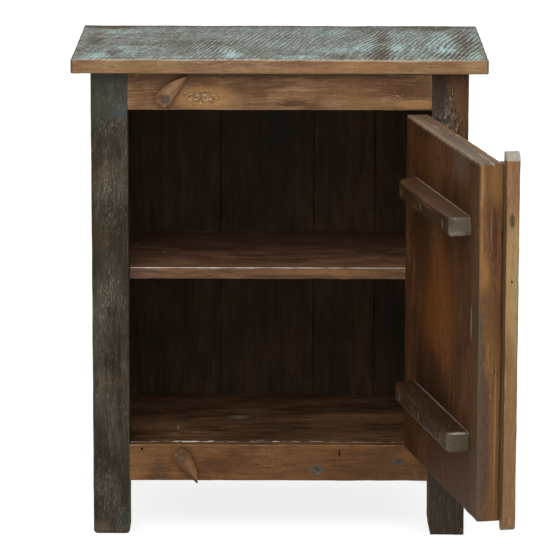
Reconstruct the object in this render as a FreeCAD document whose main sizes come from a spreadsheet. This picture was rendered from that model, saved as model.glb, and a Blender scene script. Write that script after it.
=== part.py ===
import FreeCAD, Part

import math
import os

import Sketcher
from FreeCAD import Rotation, Vector

# A small nightstand in reclaimed timber, with a painted top, square legs, one shelf and a ledged
# door that stands open. Millimetres; +X is to the right seen from the front, -Y is the front and
# +Z is up. The origin is on the floor, midway between the legs.

SIZES = (
    # Top
    ("overall_height", 663.5, "floor to the painted surface"),
    ("top_thickness", 19.5, "one board"),
    ("top_side_overhang", 25, "past the outside of the legs"),
    ("top_front_overhang", 25, "past the front of the legs"),
    ("top_back_overhang", 10, "past the back of the legs"),
    ("top_arris_radius", 2, "rubbed edge round the top"),
    # Carcass and legs
    ("carcass_width", 510, "outside of the legs"),
    ("carcass_depth", 316, "outside of the legs"),
    ("front_leg_size", 50, "square"),
    ("back_leg_size", 38, "square"),
    ("leg_arris_radius", 1.5, "upright edges of a leg"),
    ("foot_round_radius", 7, "left foot, inner corner"),
    ("foot_chamfer_width", 4, "right foot, inner corner"),
    ("foot_chamfer_height", 17, "right foot, inner corner"),
    # Rails and their joints
    ("rail_thickness", 18, "every rail"),
    ("top_rail_height", 52.5, "every top rail"),
    ("bottom_rail_height", 51, "front and side bottom rails"),
    ("bottom_rail_lift", 76.5, "floor to the underside of those rails"),
    ("back_rail_lift", 60, "floor to the underside of the back bottom rail"),
    ("side_rail_inset", 6, "side rails in from the face of the legs"),
    ("tenon_thickness", 8, "every tenon"),
    ("tenon_shoulder", 8, "rail left above and below a tenon"),
    ("tenon_length", 24, "into a front leg"),
    ("back_tenon_length", 15, "into a back leg"),
    ("joint_clearance", 0.15, "round a tenon, and round a board in its groove"),
    ("mortise_end_gap", 0.8, "past the end of a tenon"),
    # Side and back boards
    ("side_board_thickness", 10, "upright boards in grooves"),
    ("side_groove_depth", 6, "in legs and side rails"),
    ("back_board_thickness", 12, "upright boards nailed to the back rails"),
    ("back_board_clearance", 0.5, "to the back legs"),
    ("back_seam_left", 85, "first seam, left of the middle"),
    ("back_seam_middle", 49, "second seam, right of the middle"),
    ("back_seam_right", 137, "third seam, right of the middle"),
    # Shelf, bottom and cleats
    ("shelf_height", 369.5, "floor to the top of the shelf"),
    ("shelf_thickness", 16.5, "one board"),
    ("shelf_setback", 31, "behind the front of the legs"),
    ("shelf_clearance", 0.5, "shelf and bottom boards to what stands round them"),
    ("bottom_thickness", 16, "bottom boards"),
    ("bottom_front_width", 155, "front bottom board, front to back"),
    ("cleat_size", 18, "square strips under the boards"),
    # Nails and screws
    ("hole_clearance", 0.05, "round a nail or screw"),
    ("cut_overrun", 1, "a cutting tool past the face it starts from"),
    ("nail_radius", 1.2, "shank"),
    ("nail_head_radius", 2, "head"),
    ("nail_head_thickness", 1.2, "head"),
    ("cleat_nail_length", 24, "cleat to side rail or side board"),
    ("back_nail_length", 27, "back board to back rail"),
    ("batten_nail_length", 41, "batten to door"),
    ("strip_nail_length", 28, "closing strip to door"),
    ("screw_radius", 2, "shank"),
    ("screw_head_radius", 4, "head"),
    ("screw_head_thickness", 2.5, "head"),
    ("cleat_screw_length", 29, "up through a cleat into what it carries"),
    # Door
    ("door_thickness", 29.3, "both layers"),
    ("door_outer_layer", 14.5, "outer layer of boards"),
    ("door_hinge_gap", 2, "door to the right leg"),
    ("door_free_gap", 3, "door to the left leg"),
    ("door_top_gap", 3.5, "door to the top rail"),
    ("door_bottom_gap", 2, "door to the bottom rail"),
    ("door_proud", 0.3, "shut door in front of the legs"),
    ("door_open_angle", 101.4, "degrees from shut, as photographed"),
    # Battens on the inside of the door
    ("batten_start", 55, "from the hinge edge of the door"),
    ("batten_end_gap", 44, "to the free edge of the door"),
    ("batten_depth", 29, "out from the door"),
    ("upper_batten_height", 25, "upper batten"),
    ("lower_batten_height", 26, "lower batten"),
    ("upper_batten_drop", 74.5, "top of the door to its top"),
    ("lower_batten_lift", 80.5, "bottom of the door to its underside"),
    ("upper_batten_bevel", 26, "slant of its hinge end"),
    ("lower_batten_bevel", 16, "slant of its hinge end"),
    ("batten_arris_radius", 5, "rounded lower edge"),
    # Closing strip on the outside of the door
    ("strip_thickness", 17, "in front of the door"),
    ("strip_seat", 18, "on the face of the door"),
    ("strip_lap", 17.5, "past the free edge of the door"),
    ("strip_top_overrun", 16, "above the door"),
    ("strip_bottom_overrun", 10, "below the door"),
    ("strip_end_radius", 11.5, "rounded ends, outer side"),
    ("strip_back_radius", 4.5, "rounded ends, door side"),
    # Butt hinges
    ("hinge_pin_offset", 5.2, "pin in front of the legs"),
    ("hinge_length", 64, "along the pin"),
    ("hinge_leaf_width", 26, "from the pin"),
    ("hinge_leaf_thickness", 1.4, "sheet"),
    ("hinge_leaf_recess", 0.6, "let into the wood"),
    ("hinge_end_distance", 95, "from an end of the door"),
    ("knuckle_radius", 4, "barrel"),
    ("knuckle_gap", 0.25, "between knuckles and round them"),
    ("pin_radius", 2, "hinge pin"),
    ("pin_clearance", 0.05, "pin to knuckle"),
    ("pin_head_radius", 3.2, "button on each end of the pin"),
    ("pin_head_thickness", 1.5, "button on each end of the pin"),
    ("hinge_screw_radius", 1.6, "shank"),
    ("hinge_screw_head_radius", 3.1, "countersunk head"),
    ("hinge_screw_length", 18, "with its head"),
    ("hinge_screw_depth", 15, "row of screws, from the pin"),
    # Turn buttons
    ("button_length", 43, "pivot to tip"),
    ("button_half_width", 12, "at the pivot"),
    ("button_thickness", 8, "leaf-shaped piece"),
    ("button_stand_off", 0.6, "in front of the rail"),
    ("upper_button_inset", 51, "left leg to the pivot"),
    ("upper_button_drop", 37, "underside of the top to the pivot"),
    ("upper_button_angle", 46.4, "degrees, tip above level"),
    ("lower_button_inset", 71.5, "left leg to the pivot"),
    ("lower_button_drop", 16.7, "top of the rail to the pivot"),
    ("lower_button_angle", 59.7, "degrees, tip below level"),
    ("pivot_screw_radius", 2.4, "shank"),
    ("pivot_head_radius", 4.7, "head, flush with the button"),
    ("pivot_head_thickness", 2.4, "head"),
    ("pivot_head_clearance", 0.1, "head to its recess"),
    ("pivot_screw_length", 22, "with its head"),
)

TOP_BOARD_NAMES = ("top_board_front", "top_board_middle", "top_board_back")
SIDE_BOARDS = 2
SCREWS_PER_LEAF = 3
KNUCKLES = 5
# Seams of the door's layers, as shares of its width from the hinge edge
INNER_SEAM_SHARES = (0, 0.34, 0.68, 1)
OUTER_SEAM_SHARES = (0, 0.27, 0.6, 1)
# Nails and screws along a cleat, as shares of its length
CLEAT_NAIL_SHARES = (0.25, 0.75)
CLEAT_SCREW_SHARES = (0.08, 0.5, 0.92)
# Nails along a batten and up the closing strip, as shares of their length
BATTEN_NAIL_SHARES = (0.13, 0.49, 0.88)
STRIP_NAIL_SHARES = (0.08, 0.36, 0.64, 0.92)
# Outline of a turn button from its tip round the upper side: place along the button and across
# it, and the radius of the edge to the next corner (0 where it is straight), as shares of its
# length, half width and length
BUTTON_OUTLINE_SHARES = (
    (1, 0, 1.5),
    (0.07, 1.12, 0.3),
    (-0.255, 0.58, 0),
    (-0.21, -0.55, 0.28),
    (0.05, -0.86, 0),
)


class Size:
    """A length with the sheet expression that it comes from."""

    def __init__(self, value, text):
        self.value = value
        self.text = text

    def __add__(self, other):
        return Size(self.value + value_of(other), f"({self.text} + {text_of(other)})")

    def __sub__(self, other):
        return Size(self.value - value_of(other), f"({self.text} - {text_of(other)})")

    def __mul__(self, other):
        return Size(self.value * value_of(other), f"({self.text} * {text_of(other)})")

    def __truediv__(self, other):
        return Size(self.value / value_of(other), f"({self.text} / {text_of(other)})")

    def __neg__(self):
        return Size(-self.value, f"(-1 * {self.text})")


def value_of(number):
    return number.value if isinstance(number, Size) else number


def text_of(number):
    return number.text if isinstance(number, Size) else repr(number)


class Sizes:
    """The sheet's aliases as attributes, each a Size."""

    def __init__(self, document):
        sheet = document.addObject("Spreadsheet::Sheet", "Sizes")
        for row, (alias, value, note) in enumerate(SIZES, 1):
            sheet.set(f"A{row}", alias)
            sheet.set(f"B{row}", str(value))
            sheet.set(f"C{row}", note)
            sheet.setAlias(f"B{row}", alias)
            setattr(self, alias, Size(value, f"Sizes.{alias}"))


doc = FreeCAD.newDocument("Nightstand")
S = Sizes(doc)
doc.recompute()
pieces = {}

# Directions for a fastener or hole, whose own axis starts as +Z
UP = Rotation()
DOWN = Rotation(Vector(1, 0, 0), 180)
TO_RIGHT = Rotation(Vector(0, 1, 0), 90)
TO_LEFT = Rotation(Vector(0, 1, 0), -90)
TO_BACK = Rotation(Vector(1, 0, 0), -90)
TO_FRONT = Rotation(Vector(1, 0, 0), 90)


def bind(item, prop, size):
    """Tie a property to the sheet, or set it where it is a plain zero."""
    if isinstance(size, Size):
        item.setExpression(prop, size.text)
    elif size:
        raise ValueError(f"{item.Name}.{prop} has a length with no name")


def place(item, at, rotation=None):
    if rotation is not None:
        item.Placement.Rotation = rotation
    for axis, size in zip("xyz", at):
        bind(item, f"Placement.Base.{axis}", size)
    return item


def box(low, high):
    """A block between two corners."""
    item = doc.addObject("Part::Box", "Block")
    for prop, start, end in zip(("Length", "Width", "Height"), low, high):
        bind(item, prop, end - start)
    return place(item, low)


def cylinder(radius, height, at, rotation=None):
    item = doc.addObject("Part::Cylinder", "Round")
    bind(item, "Radius", radius)
    bind(item, "Height", height)
    return place(item, at, rotation)


def cone(radius, end_radius, height, at, rotation=None):
    item = doc.addObject("Part::Cone", "Taper")
    bind(item, "Radius1", radius)
    bind(item, "Radius2", end_radius)
    bind(item, "Height", height)
    return place(item, at, rotation)


def together(items):
    item = doc.addObject("Part::MultiFuse", "Joined")
    item.Shapes = items
    return item


def group(items):
    """Separate solids in one object."""
    item = doc.addObject("Part::Compound", "Group")
    item.Links = items
    return item


def cut(base, *tools):
    for tool in tools:
        item = doc.addObject("Part::Cut", "Cut")
        item.Base = base
        item.Tool = tool
        base = item
    return base


def keep(label, item):
    """Name a finished piece."""
    item.Label = label
    pieces[label] = item
    return item


def edges_where(shape, test):
    """Numbers of the straight edges that pass a test on their two ends."""
    found = []
    for number, edge in enumerate(shape.Edges, 1):
        ends = [vertex.Point for vertex in edge.Vertexes]
        if len(ends) == 2 and test(*ends):
            found.append(number)
    return found


def near(a, b):
    return abs(a - value_of(b)) < S.hole_clearance.value


def body_outline(plane_role, corners, offset):
    """A body with one closed sketch. Each corner is x, y and the radius of the edge that leaves
    it, counterclockwise, or 0 where that edge is straight."""
    body = doc.addObject("PartDesign::Body", "Body")
    sketch = body.newObject("Sketcher::SketchObject", "Outline")
    plane = [item for item in body.Origin.OriginFeatures if item.Role == plane_role][0]
    sketch.AttachmentSupport = [(plane, "")]
    sketch.MapMode = "FlatFace"
    bind(sketch, "AttachmentOffset.Base.z", offset)
    points = [Vector(value_of(x), value_of(y), 0) for x, y, _ in corners]
    for index, (x, y, radius) in enumerate(corners):
        start = points[index]
        end = points[(index + 1) % len(points)]
        if radius:
            half = (end - start) / 2
            rise = math.sqrt(radius.value ** 2 - half.Length ** 2) / half.Length
            centre = start + half + Vector(-half.y, half.x, 0) * rise
            first = math.atan2(start.y - centre.y, start.x - centre.x)
            last = math.atan2(end.y - centre.y, end.x - centre.x)
            circle = Part.Circle(centre, Vector(0, 0, 1), radius.value)
            sketch.addGeometry(Part.ArcOfCircle(circle, first, last))
        else:
            sketch.addGeometry(Part.LineSegment(start, end))
    for index in range(len(corners)):
        joint = Sketcher.Constraint("Coincident", index, 2, (index + 1) % len(corners), 1)
        sketch.addConstraint(joint)
    for index, (x, y, radius) in enumerate(corners):
        rules = [("DistanceX", x), ("DistanceY", y)]
        for kind, size in rules:
            rule = Sketcher.Constraint(kind, -1, 1, index, 1, float(value_of(size)))
            number = sketch.addConstraint(rule)
            bind(sketch, f"Constraints[{number}]", size)
        if radius:
            number = sketch.addConstraint(Sketcher.Constraint("Radius", index, radius.value))
            bind(sketch, f"Constraints[{number}]", radius)
    return body, sketch


def pad(body, sketch, length):
    feature = body.newObject("PartDesign::Pad", "Pad")
    feature.Profile = sketch
    bind(feature, "Length", length)
    doc.recompute()
    return feature


def round_edges(body, feature, radius, test):
    """Round the chosen edges of a body's last feature."""
    numbers = edges_where(feature.Shape, test)
    if not numbers:
        raise RuntimeError(f"{body.Name} has no edge to round")
    item = body.newObject("PartDesign::Fillet", "Rounding")
    item.Base = (feature, [f"Edge{number}" for number in numbers])
    bind(item, "Radius", radius)
    doc.recompute()
    return item


def fasteners(places, rotation, head_radius, head_thickness, shank_radius, length):
    """Headed nails or screws that start flush with a face and run along their own axis, and the
    holes that they need. Both are groups."""
    solids = []
    holes = []
    gap = S.hole_clearance
    back_off = rotation.multVec(Vector(0, 0, -1))
    for at in places:
        head = cylinder(head_radius, head_thickness, at, rotation)
        shank = cylinder(shank_radius, length, at, rotation)
        solids.append(together([head, shank]))
        step = (back_off.x, back_off.y, back_off.z)
        mouth = []
        for size, share in zip(at, step):
            moved = round(share)
            mouth.append(size + S.cut_overrun * moved if moved else size)
        recess = cylinder(head_radius + gap, head_thickness + gap + S.cut_overrun, mouth, rotation)
        bore = cylinder(shank_radius + gap, length + gap, at, rotation)
        holes.append(together([recess, bore]))
    return group(solids), group(holes)


# Places that several pieces share
half_width = S.carcass_width / 2
front = -S.carcass_depth / 2
back = S.carcass_depth / 2
under_top = S.overall_height - S.top_thickness
leg_inner = half_width - S.front_leg_size
back_leg_inner = half_width - S.back_leg_size
front_leg_back = front + S.front_leg_size
back_leg_front = back - S.back_leg_size
opening_bottom = S.bottom_rail_lift + S.bottom_rail_height
opening_top = under_top - S.top_rail_height
side_rail_outer = half_width - S.side_rail_inset
side_rail_inner = side_rail_outer - S.rail_thickness
side_rail_middle = side_rail_outer - S.rail_thickness / 2
side_board_inner = side_rail_middle - S.side_board_thickness / 2
side_board_outer = side_rail_middle + S.side_board_thickness / 2
back_board_front = back - S.back_board_thickness
back_rail_front = back_board_front - S.rail_thickness
bottom_underside = opening_bottom - S.bottom_thickness
shelf_underside = S.shelf_height - S.shelf_thickness
sides = (("left", -1), ("right", 1))


def mirrored(sign, low, high):
    """A block on the right, or its mirror image on the left."""
    if sign > 0:
        return box(low, high)
    return box((-high[0],) + low[1:], (-low[0],) + high[1:])


def grown(low, high, gap):
    """The space that a block needs, with a gap all round."""
    return tuple(size - gap for size in low), tuple(size + gap for size in high)


# Rails. Each is a flat bar with a tenon on both ends, and each tenon has its mortise in a leg.
mortises = {name: [] for name in ("front_left", "front_right", "back_left", "back_right")}


def cross_rail(label, y, bottom, top, reach, length, legs):
    """A rail from left to right, whose front face is at y."""
    body = box((-reach, y, bottom), (reach, y + S.rail_thickness, top))
    parts = [body]
    middle = y + S.rail_thickness / 2
    for leg, sign in zip(legs, (-1, 1)):
        low = (reach, middle - S.tenon_thickness / 2, bottom + S.tenon_shoulder)
        high = (reach + length, middle + S.tenon_thickness / 2, top - S.tenon_shoulder)
        parts.append(mirrored(sign, low, high))
        hole_low, hole_high = grown(low, high, S.joint_clearance)
        hole_high = (high[0] + S.mortise_end_gap,) + hole_high[1:]
        mortises[leg].append(mirrored(sign, hole_low, hole_high))
    return together(parts)


def side_rail(sign, side, bottom, top):
    """A rail from a front leg to a back leg."""
    low = (side_rail_inner, front_leg_back, bottom)
    high = (side_rail_outer, back_leg_front, top)
    parts = [mirrored(sign, low, high)]
    tenon_low = side_rail_middle - S.tenon_thickness / 2
    tenon_high = side_rail_middle + S.tenon_thickness / 2
    foot = bottom + S.tenon_shoulder
    head = top - S.tenon_shoulder
    front_end = front_leg_back - S.tenon_length
    back_end = back_leg_front + S.back_tenon_length
    ends = (
        ("front_" + side, front_end, front_leg_back, front_end - S.mortise_end_gap, front_leg_back),
        ("back_" + side, back_leg_front, back_end, back_leg_front, back_end + S.mortise_end_gap),
    )
    for leg, start, end, hole_start, hole_end in ends:
        parts.append(mirrored(sign, (tenon_low, start, foot), (tenon_high, end, head)))
        gap = S.joint_clearance
        hole_low = (tenon_low - gap, hole_start, foot - gap)
        hole_high = (tenon_high + gap, hole_end, head + gap)
        mortises[leg].append(mirrored(sign, hole_low, hole_high))
    return together(parts)


front_legs = ("front_left", "front_right")
back_legs = ("back_left", "back_right")
front_top_rail = cross_rail(
    "front_top_rail", front, opening_top, under_top, leg_inner, S.tenon_length, front_legs)
front_bottom_rail = cross_rail(
    "front_bottom_rail", front, S.bottom_rail_lift, opening_bottom, leg_inner, S.tenon_length,
    front_legs)
back_top_rail = cross_rail(
    "back_top_rail", back_rail_front, opening_top, under_top, back_leg_inner,
    S.back_tenon_length, back_legs)
back_bottom_rail = cross_rail(
    "back_bottom_rail", back_rail_front, S.back_rail_lift, bottom_underside, back_leg_inner,
    S.back_tenon_length, back_legs)
side_rails = {}
for side, sign in sides:
    side_rails[side, "top"] = side_rail(sign, side, opening_top, under_top)
    side_rails[side, "bottom"] = side_rail(sign, side, S.bottom_rail_lift, opening_bottom)

# Side boards. They stand in grooves in the two legs and the two rails of their side.
board_front = front_leg_back - S.side_groove_depth
board_back = back_leg_front + S.side_groove_depth
board_bottom = opening_bottom - S.side_groove_depth
board_top = opening_top + S.side_groove_depth
board_width = (board_back - board_front) / SIDE_BOARDS
grooves = {}
for side, sign in sides:
    gap = S.joint_clearance
    low = (side_board_inner - gap, board_front - gap, board_bottom - gap)
    high = (side_board_outer + gap, board_back + gap, board_top + gap)
    grooves[side] = mirrored(sign, low, high)
    for number in range(SIDE_BOARDS):
        start = board_front + board_width * number
        low = (side_board_inner, start, board_bottom)
        high = (side_board_outer, start + board_width, board_top)
        side_rails[side, number] = mirrored(sign, low, high)

# Cleats. Square strips nailed to the inside of each side, under the top, the shelf and the bottom.
cleat_levels = {
    "top": (side_rail_inner, under_top - S.cleat_size),
    "shelf": (side_board_inner, shelf_underside - S.cleat_size),
    "bottom": (side_rail_inner, bottom_underside - S.cleat_size),
}
cleat_length = back_leg_front - front_leg_back
cleats = {}
nail_solids = []
nail_holes = []
screw_solids = []
screw_holes = []
for side, sign in sides:
    for level, (wall, foot) in cleat_levels.items():
        inner = wall - S.cleat_size
        low = (inner, front_leg_back, foot)
        high = (wall, back_leg_front, foot + S.cleat_size)
        cleats[side, level] = mirrored(sign, low, high)
        nails = []
        for share in CLEAT_NAIL_SHARES:
            y = front_leg_back + cleat_length * share
            nails.append((inner * sign, y, foot + S.cleat_size / 2))
        turn = TO_RIGHT if sign > 0 else TO_LEFT
        solids, holes = fasteners(
            nails, turn, S.nail_head_radius, S.nail_head_thickness, S.nail_radius,
            S.cleat_nail_length)
        nail_solids.append(solids)
        nail_holes.append(holes)
        screws = []
        for share in CLEAT_SCREW_SHARES:
            y = front_leg_back + cleat_length * share
            screws.append(((inner + S.cleat_size / 2) * sign, y, foot))
        solids, holes = fasteners(
            screws, UP, S.screw_head_radius, S.screw_head_thickness, S.screw_radius,
            S.cleat_screw_length)
        screw_solids.append(solids)
        screw_holes.append(holes)
cleat_nail_holes = group(nail_holes)
cleat_screw_holes = group(screw_holes)
for (side, level), block in cleats.items():
    keep(f"{side}_{level}_cleat", cut(block, cleat_nail_holes, cleat_screw_holes))
keep("cleat_nails", group(nail_solids))
keep("cleat_screws", group(screw_solids))

# Side rails and side boards take the grooves and the cleat nails.
for side, sign in sides:
    for level in ("top", "bottom"):
        rail = cut(side_rails[side, level], grooves[side], cleat_nail_holes)
        keep(f"{side}_{level}_rail", rail)
    for number, word in enumerate(("front", "back")):
        keep(f"{side}_side_board_{word}", cut(side_rails[side, number], cleat_nail_holes))

# Back boards. Uneven reclaimed boards, nailed to the two back rails from behind.
back_reach = back_leg_inner - S.back_board_clearance
back_edges = (-back_reach, -S.back_seam_left, S.back_seam_middle, S.back_seam_right, back_reach)
rail_middles = (
    (S.back_rail_lift + bottom_underside) / 2,
    (opening_top + under_top) / 2,
)
back_nails = []
for left, right in zip(back_edges, back_edges[1:]):
    for share in (1 / 4, 3 / 4):
        for height in rail_middles:
            back_nails.append((left + (right - left) * share, back, height))
back_nail_solids, back_nail_holes = fasteners(
    back_nails, TO_FRONT, S.nail_head_radius, S.nail_head_thickness, S.nail_radius,
    S.back_nail_length)
for number, (left, right) in enumerate(zip(back_edges, back_edges[1:]), 1):
    block = box((left, back_board_front, S.back_rail_lift), (right, back, under_top))
    keep(f"back_board_{number}", cut(block, back_nail_holes))
keep("back_board_nails", back_nail_solids)
keep("back_top_rail", cut(back_top_rail, back_nail_holes))
keep("back_bottom_rail", cut(back_bottom_rail, back_nail_holes))


# Shelf and bottom boards. They lie on their cleats and are notched round the legs.
def notched(start, end, low, high, wall):
    """A board between the side walls, with its corners cut away for the legs that it meets."""
    gap = S.shelf_clearance
    board = box((-(wall - gap), start, low), (wall - gap, end, high))
    notches = []
    for sign in (-1, 1):
        leg_low = (leg_inner - gap, front, low - gap)
        leg_high = (half_width, front_leg_back + gap, high + gap)
        notches.append(mirrored(sign, leg_low, leg_high))
        leg_low = (back_leg_inner - gap, back_leg_front - gap, low - gap)
        leg_high = (half_width, back, high + gap)
        notches.append(mirrored(sign, leg_low, leg_high))
    return cut(board, together(notches), cleat_screw_holes)


board_end = back_board_front - S.shelf_clearance
shelf_front = front + S.shelf_setback
keep("shelf", notched(shelf_front, board_end, shelf_underside, S.shelf_height, side_board_inner))
bottom_front = front + S.rail_thickness + S.joint_clearance
bottom_seam = bottom_front + S.bottom_front_width
keep("bottom_board_front", notched(
    bottom_front, bottom_seam, bottom_underside, opening_bottom, side_rail_inner))
keep("bottom_board_back", notched(
    bottom_seam, board_end, bottom_underside, opening_bottom, side_rail_inner))

# Top. Three boards, glued edge to edge, with a rubbed arris all round.
top_front = front - S.top_front_overhang
half_top = half_width + S.top_side_overhang
top_back = back + S.top_back_overhang
top_board_depth = (top_back - top_front) / len(TOP_BOARD_NAMES)
for number, name in enumerate(TOP_BOARD_NAMES):
    start = top_front + top_board_depth * number
    end = start + top_board_depth
    corners = ((-half_top, start, 0), (half_top, start, 0), (half_top, end, 0), (-half_top, end, 0))
    body, sketch = body_outline("XY_Plane", corners, under_top)
    slab = pad(body, sketch, S.top_thickness)
    outer = []
    if number == 0:
        outer.append(start)
    if number == len(TOP_BOARD_NAMES) - 1:
        outer.append(end)

    def rubbed(a, b):
        """True of the edges that lie on the outline of the whole top."""
        if near(a.z, b.z) and near(abs(a.x), half_top) and near(a.x, b.x):
            return True
        return any(near(a.y, y) and near(b.y, y) for y in outer)

    round_edges(body, slab, S.top_arris_radius, rubbed)
    keep(name, cut(body, cleat_screw_holes))

# Hinge frame. The door, its battens, strip and hinges are laid out round the hinge pin, with the
# door shut: x runs from the pin to the right, y to the back.
hinge_x = leg_inner - S.door_hinge_gap / 2
hinge_y = front - S.hinge_pin_offset
door_edge = -S.door_hinge_gap / 2
door_width = leg_inner + leg_inner - S.door_hinge_gap - S.door_free_gap
door_bottom = opening_bottom + S.door_bottom_gap
door_top = opening_top - S.door_top_gap
door_outer = S.hinge_pin_offset - S.door_proud
door_inner = door_outer + S.door_thickness
layer_joint = door_outer + S.door_outer_layer


def on_door(label, item):
    """A finished piece of the door, swung to the open pose about the pin."""
    posed = place(group([item]), (hinge_x, hinge_y, 0))
    posed.Placement.Rotation = Rotation(Vector(0, 0, 1), S.door_open_angle.value)
    posed.setExpression("Placement.Rotation.Angle", S.door_open_angle.text)
    return keep(label, posed)


def on_leg(label, item):
    """A finished piece of a hinge that stays with the right leg."""
    return keep(label, place(group([item]), (hinge_x, hinge_y, 0)))


# Butt hinges. Each has a leaf with three knuckles on the leg, a leaf with two on the door and a
# pin through both. The leaves are let into the wood and held by countersunk screws.
leaf_far = S.door_hinge_gap / 2 + S.hinge_leaf_recess
leaf_near = leaf_far - S.hinge_leaf_thickness
knuckle_pitch = S.hinge_length / KNUCKLES
hinge_feet = {
    "lower": door_bottom + S.hinge_end_distance,
    "upper": door_top - S.hinge_end_distance - S.hinge_length,
}
leaf_recesses = {-1: [], 1: []}
leaf_screws = {-1: [], 1: []}
leaf_screw_holes = {-1: [], 1: []}
for word, foot in hinge_feet.items():
    for sign, parity in ((1, 0), (-1, 1)):
        plate = mirrored(sign, (leaf_near, 0, foot),
                         (leaf_far, S.hinge_leaf_width, foot + S.hinge_length))
        own = [plate]
        other = []
        for number in range(KNUCKLES):
            start = foot + knuckle_pitch * number
            if number % 2 == parity:
                own.append(cylinder(S.knuckle_radius, knuckle_pitch - S.knuckle_gap,
                                    (0, 0, start + S.knuckle_gap / 2)))
            else:
                other.append(cylinder(S.knuckle_radius + S.knuckle_gap,
                                      knuckle_pitch + S.knuckle_gap,
                                      (0, 0, start - S.knuckle_gap / 2)))
        bore = cylinder(S.pin_radius + S.pin_clearance, S.hinge_length + S.cut_overrun * 2,
                        (0, 0, foot - S.cut_overrun))
        low = (S.door_hinge_gap / 2 - S.hinge_leaf_recess, 0, foot)
        high = (leaf_far, S.hinge_leaf_width, foot + S.hinge_length)
        leaf_recesses[sign].append(mirrored(sign, low, high))
        turn = TO_RIGHT if sign > 0 else TO_LEFT
        heads = []
        for number in range(SCREWS_PER_LEAF):
            height = foot + S.hinge_length * ((number + 1 / 2) / SCREWS_PER_LEAF)
            at = (leaf_near * sign, S.hinge_screw_depth, height)
            head = cone(S.hinge_screw_head_radius, S.hinge_screw_radius, S.hinge_leaf_thickness,
                        at, turn)
            shank = cylinder(S.hinge_screw_radius, S.hinge_screw_length, at, turn)
            leaf_screws[sign].append(together([head, shank]))
            gap = S.hole_clearance
            sink = cone(S.hinge_screw_head_radius + gap, S.hinge_screw_radius + gap,
                        S.hinge_leaf_thickness, at, turn)
            hole = cylinder(S.hinge_screw_radius + gap, S.hinge_screw_length + gap, at, turn)
            heads.append(together([sink, hole]))
        leaf_screw_holes[sign] += heads
        leaf = cut(together(own), together(other), bore, group(heads))
        if sign > 0:
            on_leg(f"{word}_hinge_leg_leaf", leaf)
        else:
            on_door(f"{word}_hinge_door_leaf", leaf)
    shaft = cylinder(S.pin_radius, S.hinge_length, (0, 0, foot))
    caps = [
        cylinder(S.pin_head_radius, S.pin_head_thickness, (0, 0, foot - S.pin_head_thickness)),
        cylinder(S.pin_head_radius, S.pin_head_thickness, (0, 0, foot + S.hinge_length)),
    ]
    on_leg(f"{word}_hinge_pin", together([shaft] + caps))
on_leg("leg_hinge_screws", group(leaf_screws[1]))
on_door("door_hinge_screws", group(leaf_screws[-1]))
leg_hinge_tools = place(group(leaf_recesses[1] + leaf_screw_holes[1]), (hinge_x, hinge_y, 0))
door_hinge_tools = leaf_recesses[-1] + leaf_screw_holes[-1]

# Battens. Two square bars across the inside of the door, each held by three nails, with the
# hinge end cut on a slant and the lower edge rubbed round.
batten_nails = []
battens = {}
batten_face = door_inner + S.batten_depth
batten_near = door_edge - S.batten_start
batten_far = door_edge - door_width + S.batten_end_gap
upper_batten_foot = door_top - S.upper_batten_drop - S.upper_batten_height
batten_sizes = {
    "upper": (upper_batten_foot, S.upper_batten_height, S.upper_batten_bevel),
    "lower": (door_bottom + S.lower_batten_lift, S.lower_batten_height, S.lower_batten_bevel),
}
for word, (foot, height, bevel) in batten_sizes.items():
    corners = (
        (batten_far, door_inner, 0),
        (batten_near, door_inner, 0),
        (batten_near - bevel, batten_face, 0),
        (batten_far, batten_face, 0),
    )
    body, sketch = body_outline("XY_Plane", corners, foot)
    bar = pad(body, sketch, height)

    def lower_edge(a, b):
        low = near(a.z, foot) and near(b.z, foot)
        return low and near(a.y, batten_face) and near(b.y, batten_face)

    round_edges(body, bar, S.batten_arris_radius, lower_edge)
    battens[word] = body
    for share in BATTEN_NAIL_SHARES:
        x = batten_near + (batten_far - batten_near) * share
        batten_nails.append((x, batten_face, foot + height / 2))
batten_nail_solids, batten_nail_holes = fasteners(
    batten_nails, TO_FRONT, S.nail_head_radius, S.nail_head_thickness, S.nail_radius,
    S.batten_nail_length)
for word, body in battens.items():
    on_door(f"{word}_batten", cut(body, batten_nail_holes))
on_door("batten_nails", batten_nail_solids)

# Closing strip. Half of it is nailed to the face of the door and half laps past the free edge;
# the lapping half runs past the door at both ends, which are rounded.
strip_seat = door_edge - door_width + S.strip_seat
strip_edge = door_edge - door_width
strip_far = strip_edge - S.strip_lap
strip_foot = door_bottom - S.strip_bottom_overrun
strip_head = door_top + S.strip_top_overrun
corners = (
    (strip_far, strip_foot, 0),
    (strip_edge, strip_foot, 0),
    (strip_edge, door_bottom, 0),
    (strip_seat, door_bottom, 0),
    (strip_seat, door_top, 0),
    (strip_edge, door_top, 0),
    (strip_edge, strip_head, 0),
    (strip_far, strip_head, 0),
)
body, sketch = body_outline("XZ_Plane", corners, -door_outer)
strip = pad(body, sketch, S.strip_thickness)


def strip_end(x):
    def test(a, b):
        ends = near(a.z, strip_foot) or near(a.z, strip_head)
        return ends and near(a.z, b.z) and near(a.x, x) and near(b.x, x)
    return test


strip = round_edges(body, strip, S.strip_end_radius, strip_end(strip_far))
round_edges(body, strip, S.strip_back_radius, strip_end(strip_edge))
strip_nails = []
for share in STRIP_NAIL_SHARES:
    height = door_bottom + (door_top - door_bottom) * share
    strip_nails.append((strip_edge + S.strip_seat / 2, door_outer - S.strip_thickness, height))
strip_nail_solids, strip_nail_holes = fasteners(
    strip_nails, TO_BACK, S.nail_head_radius, S.nail_head_thickness, S.nail_radius,
    S.strip_nail_length)
on_door("closing_strip", cut(body, strip_nail_holes))
on_door("closing_strip_nails", strip_nail_solids)

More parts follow.
